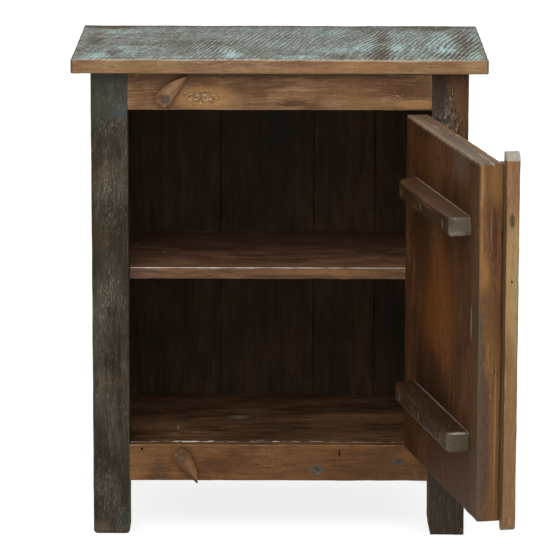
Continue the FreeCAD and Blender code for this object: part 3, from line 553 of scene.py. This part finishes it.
for node, faces, seams, dents, material in legs:
    bm = worn_piece(node, faces, 2, 0.35, seams, dents=dents)
    dressed(bm, node, "carcass", material)

# Rails
# Bars tenoned into the legs. The two at the front are a warmer brown; the upper one has a
# gouged pale knot beside its turn button, the lower one two grey plugs and a nail hole.

# Golden brown, with a soft gleam, a cream knot, and painted shade under the top's overhang
top_rail_timber = waxed_timber(
    "waxed_rail_upper", "x", ("#674a31", "#836244", "#997755"), streak=4, blotch=30,
    figure=0.5, pale="#a58763", relief=0.6, grimy="#7a5638",
    marks=(("#6b4a30", 0.67, 2.6, 7), ("#cfb48a", 0.695, 1.8, 5)),
    scuffs=(((-112, FRONT, 609), (22, 14, 12), 0.2), ((-88, FRONT, 609), (16, 14, 9), 0.16),
            ((160, FRONT, 616), (40, 14, 14), 0.03)),
    patches=(
        ((-104, FRONT, 609), (40, 14, 14), "#ae8450", 0.75, 0.7),
        ((-192, FRONT, 612), (14, 14, 20), "#745537", 0.7, 0.5),
        ((20, FRONT, 601), (22, 14, 5), "#4f3825", 0.8, 0.7),
        # Painted shade under the overhang of the top, along the upper edge and deeper at the left
        # end
        ((0, FRONT, 645), (260, 14, 10), "#4b3726", 0.75, 0.4),
        ((-165, FRONT, 630), (44, 14, 16), "#61462f", 0.7, 0.7),
        ((-200, FRONT, 640), (30, 14, 12), "#5f432c", 0.7, 0.5),
        ((90, FRONT, 618), (60, 14, 14), "#765238", 0.5, 0.8),
        ((110, FRONT, 603), (50, 14, 6), "#8f6c48", 0.6, 0.8),
        ((156, FRONT, 618), (24, 14, 13), "#633f29", 0.75, 0.4),
        ((180, FRONT, 616), (24, 14, 12), "#5b3d28", 0.75, 0.4),
        ((185, FRONT, 600), (26, 14, 6), "#a3794d", 0.8, 0.4),
    ))
# Redder and darker; painted shade of the open door at the right, and a painted gleam where it ends
bottom_rail_timber = waxed_timber(
    "waxed_rail_lower", "x", ("#55371f", "#6f4a2c", "#835933"), streak=5, blotch=45,
    figure=0.45, pale="#a08668",
    marks=(("#332317", 0.67, 1.6, 12), ("#a99a80", 0.68, 1.2, 3)),
    scuffs=(((51, FRONT, 92), (10, 9, 7), 0.1), ((-20, FRONT, 105), (40, 9, 22), 0.04),
            ((164, FRONT, 104), (8, 9, 6), 0.06)),
    patches=(
        ((-190, FRONT, 104), (20, 14, 18), "#755232", 0.6, 0.5),
        ((-166, FRONT, 90), (14, 14, 14), "#4d3725", 0.6, 0.8),
        ((60, FRONT, 100), (120, 14, 24), "#6d4b2d", 0.4, 0.5),
        # Painted shade of the open door, and above it a painted highlight
        ((160, FRONT, 98), (60, 14, 26), "#4c331f", 0.5, 0.6),
        ((185, FRONT, 113), (26, 14, 8), "#8a5c31", 0.5, 0.6),
        ((51, FRONT, 92), (9, 9, 6.5), "#5d5a4f", 0.85, 0.6),
        ((164, FRONT, 104), (8, 9, 5.5), "#504a41", 0.8, 0.6),
        ((83, FRONT, 116), (1.2, 5, 5), "#21170f", 0.9, 0.2),
        ((-188, FRONT, 121), (1.7, 4, 1.7), "#120d09", 1, 0),
    ))
# Plain mid brown and satin, with the grain along either kind of rail
hidden_rail_timber, side_rail_timber = (
    waxed_timber(name, grain, ("#483424", "#5a422e", "#6d523a"), streak=6, blotch=50)
    for name, grain in (("waxed_rail_side", "x"), ("waxed_rail_side_long", "y")))
gouged_knot = (
    ("y-", (-112, FRONT, 609), (22, 1, 12), 1.5, True),
    ("y-", (-88, FRONT, 609), (16, 1, 8), 1.0, True),
)
plugs_and_holes = (
    ("y-", (51, FRONT, 92), (8.5, 1, 6.5), 1, True),
    ("y-", (164, FRONT, 104), (7, 1, 5), 0.8, True),
    ("y-", (83, FRONT, 116), (0.9, 1, 5), 2, False),
    ("y-", (-188, FRONT, 121), (1.8, 1, 1.8), 4, False),
)
rails = (
    ("front_top_rail", "y- y+ z-", gouged_knot, top_rail_timber),
    ("front_bottom_rail", "y- y+ z- z+", plugs_and_holes, bottom_rail_timber),
    ("back_top_rail", "y- z-", (), hidden_rail_timber),
    ("back_bottom_rail", "y- z-", (), hidden_rail_timber),
    ("left_top_rail", "x- x+ z-", (), side_rail_timber),
    ("left_bottom_rail", "x- x+ z- z+", (), side_rail_timber),
    ("right_top_rail", "x- x+ z-", (), side_rail_timber),
    ("right_bottom_rail", "x- x+ z- z+", (), side_rail_timber),
)
for node, faces, dents, material in rails:
    bm = worn_piece(node, faces, 1.6, 0.4, dents=dents)
    dressed(bm, node, "carcass", material)

# Side and back boards
# Thin upright boards: two a side in grooves, four of uneven widths nailed on behind. Inside they
# are almost black brown, with the gaps between them just seen.

# Black brown and dull, with an upright figure that only just shows
back_board_timber = waxed_timber(
    "dark_back_boards", "z", ("#2c2014", "#3c2c1c", "#4c3825"), streak=8, blotch=60,
    figure=0.6, rough=(0.6, 0.75))
# Mid brown and satin, with broad quiet stains
side_board_timber = waxed_timber(
    "waxed_side_boards", "z", ("#47301f", "#563b26", "#674930"), streak=6, blotch=90,
    rough=(0.55, 0.7))
# The outer edges of the outermost back boards, and the legs that they are pressed against
BACK_EDGE = 216.5
LEG_SIDE = 217
for number in range(1, 5):
    node = f"back_board_{number}"
    bm = worn_piece(node, "y- y+", 1.4, 0.1, "x- x+", 9)
    for vert in bm.verts:
        if abs(vert.co.x) > (BACK_EDGE - 0.1) * MM:
            vert.co.x *= LEG_SIDE / BACK_EDGE
    dressed(bm, node, "carcass", back_board_timber)
for node in ("left_side_board_front", "left_side_board_back", "right_side_board_front",
             "right_side_board_back"):
    bm = worn_piece(node, "x- x+", 1.4, 0.1, "y- y+", 9)
    dressed(bm, node, "carcass", side_board_timber)

# Shelf and bottom boards
# One shelf, notched round the legs, and two bottom boards. Hands have rubbed the front arris of the
# shelf to a white line, which is also a painted highlight, and that of the bottom boards to broken
# white dashes.

# In mm: the front edge of the shelf, and the upper faces of the shelf and the bottom boards
SHELF_FRONT = -127
SHELF_FACE = 369.5
BOTTOM_FACE = 127.5
# Red brown, the glossiest wood here, with a milky white arris: rubbed pale and a painted highlight
shelf_timber = waxed_timber(
    "waxed_shelf", "x", ("#563c2c", "#6c4c39", "#825f47"), streak=4, blotch=45, figure=1.2,
    pale="#f2ebe2", rough=(0.4, 0.55), handled=0.3,
    marks=(("#a8927c", 0.70, 1.2, 7),),
    patches=(((0, SHELF_FRONT, 360), (300, 3, 7.6), "#6c4d33", 0.8, 0.3),
             ((70, SHELF_FRONT, 362), (60, 3.5, 5), "#8c6842", 0.7, 0.7),
             ((30, SHELF_FRONT, 357), (50, 3.5, 3), "#543c2a", 0.6, 0.8),
             ((-110, SHELF_FRONT, 357), (30, 3.5, 5), "#5c432f", 0.6, 0.8),
             ((180, SHELF_FRONT, 358), (24, 3.5, 5), "#5f4634", 0.6, 0.8),
             ((-190, SHELF_FRONT, 360), (36, 3.5, 12), "#67503f", 0.7, 0.7),
             ((-188, 18, SHELF_FACE), (9, 5, 3), "#9c8b7c", 0.6, 1.5),
             ((-160, -18, SHELF_FACE), (2, 6, 3), "#b5a595", 0.7, 0.6),
             # Painted light along the front of the upper face, and painted shade towards the back
             ((20, -112, SHELF_FACE), (220, 13, 3), "#8a6546", 0.55, 0.8),
             ((0, 70, SHELF_FACE), (300, 95, 5), "#4a3425", 0.6, 0.5)))
# Darker and less glossy, with one pale spot and white dashes in front
bottom_timber = waxed_timber(
    "waxed_bottom_boards", "x", ("#452f1f", "#5d422d", "#74543a"), streak=5, blotch=50,
    figure=1, pale="#f6efe6", rough=(0.45, 0.6), handled=-0.35,
    marks=(("#9a8468", 0.70, 1.2, 7), ("#23170e", 0.67, 2, 60), ("#f6efe6", 0.76, 4, 20)),
    scuffs=(((-60, -137, BOTTOM_FACE), (175, 6, 4), 0.24),),
    patches=(((-57, 5, BOTTOM_FACE), (12, 9, 3), "#8d7c66", 0.7, 1.2),
             ((-141, -56, BOTTOM_FACE), (1.5, 12, 3), "#a08c74", 0.7, 0.5)))
flat_boards = (
    ("shelf", "y- z+", "z-", shelf_timber),
    ("bottom_board_front", "y- z+", "y+", bottom_timber),
    ("bottom_board_back", "z+", "y-", bottom_timber),
)
for node, faces, seams, material in flat_boards:
    bm = worn_piece(node, faces, 1.5, 0.3, seams, 9)
    dressed(bm, node, "carcass", material)

# Cleats
# Sawn square strips that carry the top, the shelf and the bottom boards. They are never seen
# from the front, and are left rough.

# Raw, pale and matt
cleat_timber = waxed_timber(
    "sawn_cleats", "y", ("#4a3828", "#665039", "#80684c"), streak=3, blotch=30,
    rough=(0.7, 0.85), relief=0.6)
for node in ("left_top_cleat", "left_shelf_cleat", "left_bottom_cleat", "right_top_cleat",
             "right_shelf_cleat", "right_bottom_cleat"):
    bm = worn_piece(node, "x- x+ y- y+ z- z+", 1.2)
    dressed(bm, node, "carcass", cleat_timber)

# Door
# Two layers of upright boards, glued face to face, that hang on the right leg and stand open.
# They are modelled shut, round the hinge pin, and turned to the open pose at the end.
PIN = (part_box("upper_hinge_pin")[0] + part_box("upper_hinge_pin")[1]) / 2
PIN.z = 0
OPEN = math.radians(101.4)
opened = Matrix.Translation(PIN) @ Matrix.Rotation(OPEN, 4, "Z")
closed = opened.inverted()
# In mm: the planes of the door's free edge, its top end and the face that looks inward
DOOR_EDGE = -406
DOOR_TOP = 588
DOOR_INSIDE = 34
# Dark red brown under old wax, with a glow in the middle, tan on the edge and grey on the end
door_timber = waxed_timber(
    "waxed_door_boards", "z", ("#38220f", "#462b17", "#55361e"), streak=6, blotch=60,
    figure=0.55, pale="#6f553c", rough=(0.55, 0.7), wax=0.07, grimy="#4a3220", centre=PIN,
    turn=(0, 0, OPEN), marks=(("#b3a28a", 0.69, 1.1, 8), ("#22150b", 0.67, 1.6, 60)),
    scuffs=(((-200, 19, DOOR_TOP), (240, 12, 3), 0.15), ((DOOR_EDGE, 20, 500), (4, 14, 90), 0.02)),
    patches=(
        ((-186, DOOR_INSIDE, 360), (75, 12, 90), "#6b3c1a", 0.75, 0.6),
        ((-100, DOOR_INSIDE, 440), (60, 12, 70), "#35200e", 0.6, 0.7),
        ((-130, DOOR_INSIDE, 545), (60, 12, 34), "#543318", 0.6, 0.6),
        ((-150, DOOR_INSIDE, 256), (95, 12, 46), "#2a190d", 0.75, 0.6),
        ((-300, DOOR_INSIDE, 572), (38, 12, 24), "#55483a", 0.6, 0.8),
        ((-388, DOOR_INSIDE, 350), (24, 12, 260), "#4c3825", 0.7, 0.4),
        ((-365, DOOR_INSIDE, 378), (1.6, 6, 19), "#b5a793", 0.9, 0.4),
        ((-280, DOOR_INSIDE, 170), (120, 12, 50), "#3e2713", 0.5, 0.6),
        ((DOOR_EDGE, 20, 360), (3.4, 60, 400), "#755334", 0.9, 0.1),
        ((DOOR_EDGE, 19, 495), (4, 7, 50), "#5a3d2a", 0.75, 0.7),
        ((DOOR_EDGE, 20, 504), (4, 0.9, 26), "#8d7a68", 0.45, 1.2),
        ((DOOR_EDGE, 12, 565), (4, 9, 26), "#8f6a3f", 0.6, 0.6),
        ((DOOR_EDGE, 20, 345), (4, 4, 40), "#94683a", 0.8, 0.7),
        ((DOOR_EDGE, 14, 395), (4, 12, 40), "#66482e", 0.7, 0.6),
        ((DOOR_EDGE, 28, 230), (5, 8.5, 120), "#514338", 0.8, 0.5),
        ((DOOR_EDGE, 11, 230), (4, 7, 120), "#7d5a39", 0.7, 0.6),
        ((DOOR_EDGE, 12, 250), (4, 1.3, 80), "#a67a4a", 0.7, 0.8),
        ((DOOR_EDGE, DOOR_INSIDE, 280), (5, 5.5, 190), "#5b4c3d", 0.8, 0.6),
        ((DOOR_EDGE, 32.5, 560), (5, 3, 30), "#ad8357", 0.75, 1.5),
        ((DOOR_EDGE, 32.5, 485), (5, 2.2, 40), "#a17648", 0.7, 1.5),
        ((DOOR_EDGE, 27, 452), (5, 5, 18), "#9c6f40", 0.75, 1.2),
        ((-200, 20, DOOR_TOP), (300, 60, 2.4), "#73604f", 0.85, 0.3),
        ((-90, 28, DOOR_TOP), (90, 8, 2.6), "#94745a", 0.7, 0.9),
        ((-330, 24, DOOR_TOP), (60, 9, 2.6), "#857766", 0.7, 0.9),
        ((-250, 9, DOOR_TOP), (260, 5, 2.6), "#8a6544", 0.7, 0.8),
        ((-230, 24, DOOR_TOP), (150, 3.4, 2.8), "#74655a", 0.6, 1),
        ((-112, 20, DOOR_TOP), (14, 1.4, 2.8), "#d6ccbc", 0.6, 1),
        ((-230, 19, DOOR_TOP), (120, 1, 2.8), "#3d2c1f", 0.7, 1.2),
        ((-186, 10, DOOR_TOP), (3, 2, 2.8), "#e0d8cc", 0.8, 1),
        ((-345, 17, DOOR_TOP), (40, 1.4, 2.8), "#c8baa5", 0.6, 1.6),
        ((-402, 19, DOOR_TOP), (4, 2, 2.8), "#cfc4b4", 0.6, 1),
        ((-200, 33, DOOR_TOP), (300, 2.6, 2.8), "#9c8d7a", 0.8, 1.3),
    ))
hollow_edge = (("x-", (DOOR_EDGE, 14, 495), (1, 4, 46), 0.6, False),)
scratched = (("y+", (-365, DOOR_INSIDE, 378), (1.5, 1, 19), 0.6, False),)
door_boards = (
    ("door_inner_board_1", "x+ y+ z- z+", ()),
    ("door_inner_board_2", "y+ z- z+", ()),
    ("door_inner_board_3", "x- y+ z- z+", scratched),
    ("door_outer_board_1", "x+ y- z- z+", ()),
    ("door_outer_board_2", "y- z- z+", ()),
    ("door_outer_board_3", "x- y- z- z+", hollow_edge),
)
for node, faces, dents in door_boards:
    bm = worn_piece(node, faces, 1.8, 0.4, dents=dents, shut=closed)
    dressed(bm, node, "door", door_timber, opened)

# Battens
# Two dark bars across the inside of the door, each held by three nails. Their upper arrises are
# rubbed to thin pale lines, and the end grain is grey.

# Black brown and smooth, with a satin gleam
batten_timber = waxed_timber(
    "waxed_battens", "x", ("#2e1f12", "#3b2818", "#4b3522"), streak=4, blotch=40,
    figure=0.6, pale="#85766a", rough=(0.45, 0.6), wax=0.1, handled=-0.85, centre=PIN,
    turn=(0, 0, OPEN), marks=(("#9c8d78", 0.70, 1.2, 8),),
    patches=(((-200, 50, 513), (220, 30, 3), "#5d4431", 0.75, 0.4),
             ((-200, 50, 236), (220, 30, 3), "#3d291b", 0.7, 0.4),
             ((-250, 63, 495), (60, 3, 10), "#241810", 0.6, 0.7),
             ((-240, 61, 211), (120, 5, 5), "#5a4f40", 0.6, 0.8),
             ((-362, 50, 501), (6, 30, 30), "#6b5f50", 0.9, 0.6),
             ((-362, 52, 492), (6, 9, 4), "#8b8272", 0.7, 0.8),
             ((-362, 62, 508), (7, 5, 7), "#403b32", 0.7, 0.8),
             ((-362, 50, 223), (6, 30, 30), "#5f5445", 0.9, 0.6),
             ((-209, 35, 513.5), (156, 1.6, 1.6), "#a3907c", 0.8, 0.7),
             ((-209, 35, 236), (156, 1.6, 1.6), "#8f8272", 0.8, 0.7),
             ((-363, 46, 512.5), (3, 14, 1.7), "#cfc6b9", 0.9, 0.7),
             ((-363, 46, 235), (3, 14, 1.7), "#b9b1a5", 0.9, 0.7),
             *[((x, 64, z), (1.5, 3, 5.5), "#94887a", 0.75, 0.6)
               for x in (-96, -206, -325) for z in (499, 221)]))
for node in ("upper_batten", "lower_batten"):
    bm = worn_piece(node, "x- y+ z- z+", 4.6, 0.4, step=5, shut=closed)
    dressed(bm, node, "door", batten_timber, opened)

# Closing strip
# A tan bar nailed to the outside of the door, half past its free edge, so that it laps the leg
# when the door is shut. Its ends run past the door and are rounded, and their end grain is raw.

# The outer face of the strip in mm
STRIP_FACE = -423.5
# Pale tan, streaked, with a satin face, chalky ends and painted shade by the door
strip_timber = waxed_timber(
    "waxed_closing_strip", "z", ("#7a5b3c", "#8c6c4b", "#9f7f5a"), streak=4, blotch=36,
    figure=0.5, pale="#a08662", rough=(0.5, 0.65), wax=0.1, handled=-0.5, centre=PIN,
    turn=(0, 0, OPEN), marks=(("#5a4029", 0.66, 1.4, 30), ("#b8a07c", 0.68, 1.2, 6)),
    patches=(((STRIP_FACE, -4, 572), (6, 14, 44), "#8a6245", 0.7, 0.5),
             ((STRIP_FACE, -4, 445), (6, 14, 70), "#a5875b", 0.75, 0.7),
             ((STRIP_FACE, -4, 240), (6, 14, 120), "#866340", 0.6, 0.6),
             ((STRIP_FACE, -2, 518), (6, 3.5, 8), "#4f3a28", 0.9, 0.6),
             ((STRIP_FACE, -9, 420), (6, 5, 90), "#a1875c", 0.6, 0.8),
             # Painted shade along the arris beside the door
             ((-414, 4.9, 360), (12, 0.8, 260), "#553c27", 0.8, 0.2),
             ((STRIP_FACE, -12.1, 360), (3, 1.5, 260), "#4f3a26", 0.7, 0.3),
             ((-410, -4, 607), (60, 60, 14), "#aba396", 0.95, 0.05),
             ((-410, -4, 117), (60, 60, 8), "#7d7158", 0.75, 0.3),
             ((STRIP_FACE, -3, 441), (3, 1.3, 1.3), "#120d09", 1, 0)))
knot_and_hole = (
    ("x-", (STRIP_FACE, -2, 518), (1, 3, 7), 0.8, True),
    ("x-", (STRIP_FACE, -3, 441), (1, 1.3, 1.3), 3, False),
)
bm = worn_piece("closing_strip", "x- y- y+", 1.8, 0.4, dents=knot_and_hole, shut=closed)
dressed(bm, "closing_strip", "door", strip_timber, opened)

# Turn buttons
# Two leaf-shaped pieces, whittled from tan wood, that turn on a screw and hold the door shut.
# The knife left a narrow facet round the edge.

# How wide the facet is, what angle still counts as flat, and how far out the screw's hole goes
FACET = 1.4 * MM
FLAT = math.radians(2)
SCREW_HOLE = 6 * MM
# Each button's angle in degrees and its tones
buttons = (
    ("upper", -46.4, ("#66472f", "#7e5e42", "#957453")),
    ("lower", 59.7, ("#523823", "#6a492d", "#7f5a3a")),
)
for word, angle, tones in buttons:
    node = word + "_turn_button"
    turn = Euler((0, math.radians(angle), 0))
    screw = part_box(word + "_button_screw")
    pivot = (screw[0] + screw[1]) / 2
    pivot.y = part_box(node)[1].y
    # Tan and satin, with a dark ring round the screw
    button_timber = waxed_timber(
        "whittled_button_" + word, "x", tones, streak=3, blotch=16, figure=0.35, pale="#b39473",
        rough=(0.5, 0.65), relief=0.3, centre=pivot, turn=turn,
        patches=(((0, 0, 0), (9, 20, 9), "#4f3c2b", 0.5, 0.3),
                 ((0, 0, 0), (5.8, 20, 5.8), "#2b2017", 0.85, 0)))
    bm = merged(node)
    bmesh.ops.dissolve_limit(bm, angle_limit=FLAT, verts=bm.verts, edges=bm.edges)
    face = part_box(node)[0].y
    rim = [edge for edge in bm.edges
           if all(abs(vert.co.y - face) < NEAR for vert in edge.verts)
           and all((vert.co - pivot).xz.length > SCREW_HOLE for vert in edge.verts)]
    bmesh.ops.bevel(
        bm, geom=rim, offset=FACET, offset_type="OFFSET", segments=2, profile=0.5,
        affect="EDGES", material=-1)
    dressed(bm, node, node, button_timber, made="whittled_")

# Hinges, nails and screws
# Plain steel, dulled by wax and handling. They keep the shapes of the model.


def dulled_steel(name, dark, light, rough):
    """Mild steel gone dull: a mottled grey-brown oxide over metal."""
    material, tree = new_material(name)
    place = add(tree, "TexCoord").outputs["Object"]
    mottle = add(tree, "TexNoise", {"Vector": place, "Scale": 1 / (1.5 * MM), "Detail": 4,
                                    "Roughness": 0.6}).outputs["Fac"]
    colour = add(tree, "ValToRGB", {"Fac": mottle}, [(0.35, dark), (0.65, light)]).outputs[0]
    gloss = ranged(tree, mottle, 0.3, 0.7, rough + 0.1, rough - 0.08)
    bump = add(tree, "Bump", {"Height": mottle, "Strength": 0.5, "Distance": 0.1 * MM}).outputs[0]
    surface = add(tree, "BsdfPrincipled", {"Base Color": colour, "Metallic": 0.75,
                                           "Roughness": gloss, "Normal": bump})
    add(tree, "OutputMaterial", {"Surface": surface.outputs[0]})
    return material


# Grey-brown and dull: brighter on the nails, and brown under the wax on the lower screw
hinge_steel = dulled_steel("dulled_hinge_steel", "#3d3730", "#6b645a", 0.5)
nail_steel = dulled_steel("dulled_nail_steel", "#4a443c", "#8a8378", 0.5)
screw_steel = dulled_steel("dulled_screw_head", "#352e26", "#5f5648", 0.5)
waxed_screw = dulled_steel("screw_head_under_wax", "#4a3828", "#6b523a", 0.55)
steel_pieces = (
    (hinge_steel, ("upper_hinge_leg_leaf", "upper_hinge_door_leaf", "upper_hinge_pin",
                   "lower_hinge_leg_leaf", "lower_hinge_door_leaf", "lower_hinge_pin",
                   "leg_hinge_screws", "door_hinge_screws")),
    (nail_steel, ("cleat_nails", "cleat_screws", "back_board_nails", "closing_strip_nails",
                  "batten_nails")),
    (screw_steel, ("upper_button_screw",)),
    (waxed_screw, ("lower_button_screw",)),
)
for steel, nodes in steel_pieces:
    for node in nodes:
        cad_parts[node].material_slots[0].material = steel

# Studio
# A pale floor that runs out of sight, soft daylight from all round, and broad lamps in front.
# Floor and sky are brighter to the camera than as lights, so that the ground comes out white.
FLOOR_HALF = 9
AIM = Vector((0, 0, 0.4))


def looked_at(tree):
    """Whether a ray is the camera's own, and whether it's that, a reflection or a refraction."""
    path = add(tree, "LightPath").outputs
    shown = maths(tree, "MAXIMUM", path["Is Camera Ray"], path["Is Glossy Ray"])
    shown = maths(tree, "MAXIMUM", shown, path["Is Transmission Ray"])
    return path["Is Camera Ray"], shown


floor_mesh = bpy.data.meshes.new("floor")
bm = bmesh.new()
bmesh.ops.create_grid(bm, x_segments=1, y_segments=1, size=FLOOR_HALF)
bm.to_mesh(floor_mesh)
bm.free()
floor = bpy.data.objects.new("floor", floor_mesh)
bpy.context.collection.objects.link(floor)
# Matt white paper that glows a little, so that only a faint shadow is left on it
paper, tree = new_material("white_paper")
direct, shown = looked_at(tree)
glow = maths(tree, "MULTIPLY", shown, 0.8)
lit = add(tree, "BsdfDiffuse", {"Color": linear("#e6e6e6")}).outputs[0]
dim = add(tree, "BsdfDiffuse", {"Color": linear("#bcbcbc")}).outputs[0]
lit = add(tree, "MixShader", {0: direct, 1: lit, 2: dim}).outputs[0]
shine = add(tree, "Emission", {"Strength": glow}).outputs[0]
both = add(tree, "AddShader", {0: lit, 1: shine}).outputs[0]
add(tree, "OutputMaterial", {"Surface": both})
floor_mesh.materials.append(paper)

world = bpy.data.worlds.new("studio")
world.use_nodes = True
bpy.context.scene.world = world
tree = world.node_tree
tree.nodes.clear()
_, shown = looked_at(tree)
strength = ranged(tree, shown, 0, 1, 1, 0.55)
sky = add(tree, "Background", {"Color": (1, 1, 1, 1), "Strength": strength}).outputs[0]
add(tree, "OutputWorld", {"Surface": sky})

# Each lamp's place and side in metres, and its power in watts
lamps = (
    ("key", (-0.6, -2.8, 2.9), 2.4, 55),
    ("fill", (2.2, -3.2, 1.4), 2.0, 18),
)
for name, place, size, power in lamps:
    lamp = bpy.data.lights.new(name, "AREA")
    lamp.shape = "SQUARE"
    lamp.size = size
    lamp.energy = power
    holder = bpy.data.objects.new(name, lamp)
    holder.location = place
    holder.rotation_euler = (AIM - Vector(place)).to_track_quat("-Z", "Y").to_euler()
    bpy.context.collection.objects.link(holder)

# Camera
# A long lens, five metres away and looking down by eleven degrees, as in the photograph.
# Its place is in mm, and its focal length in pixels of a picture 560 wide.
EYE = (11.52, -5099.57, 1355.88)
FOCAL = 3707.94
WIDTH = 560
SENSOR = 36
pitch = math.radians(11.414)
yaw = math.radians(-0.122)
roll = math.radians(0.122)
ahead = Vector((
    math.sin(yaw) * math.cos(pitch), math.cos(yaw) * math.cos(pitch), -math.sin(pitch)))
right = Vector((math.cos(yaw), -math.sin(yaw), 0))
up = right.cross(ahead)
right, up = (right * math.cos(roll) + up * math.sin(roll),
             up * math.cos(roll) - right * math.sin(roll))
camera_data = bpy.data.cameras.new("camera")
camera_data.sensor_width = SENSOR
camera_data.lens = FOCAL / WIDTH * SENSOR
camera_data.clip_end = 100
camera = bpy.data.objects.new("camera", camera_data)
rows = [(right[n], up[n], -ahead[n], EYE[n] * MM) for n in range(3)]
camera.matrix_world = Matrix((*rows, (0, 0, 0, 1)))
bpy.context.collection.objects.link(camera)
bpy.context.scene.camera = camera
bpy.context.scene.view_settings.view_transform = "Standard"
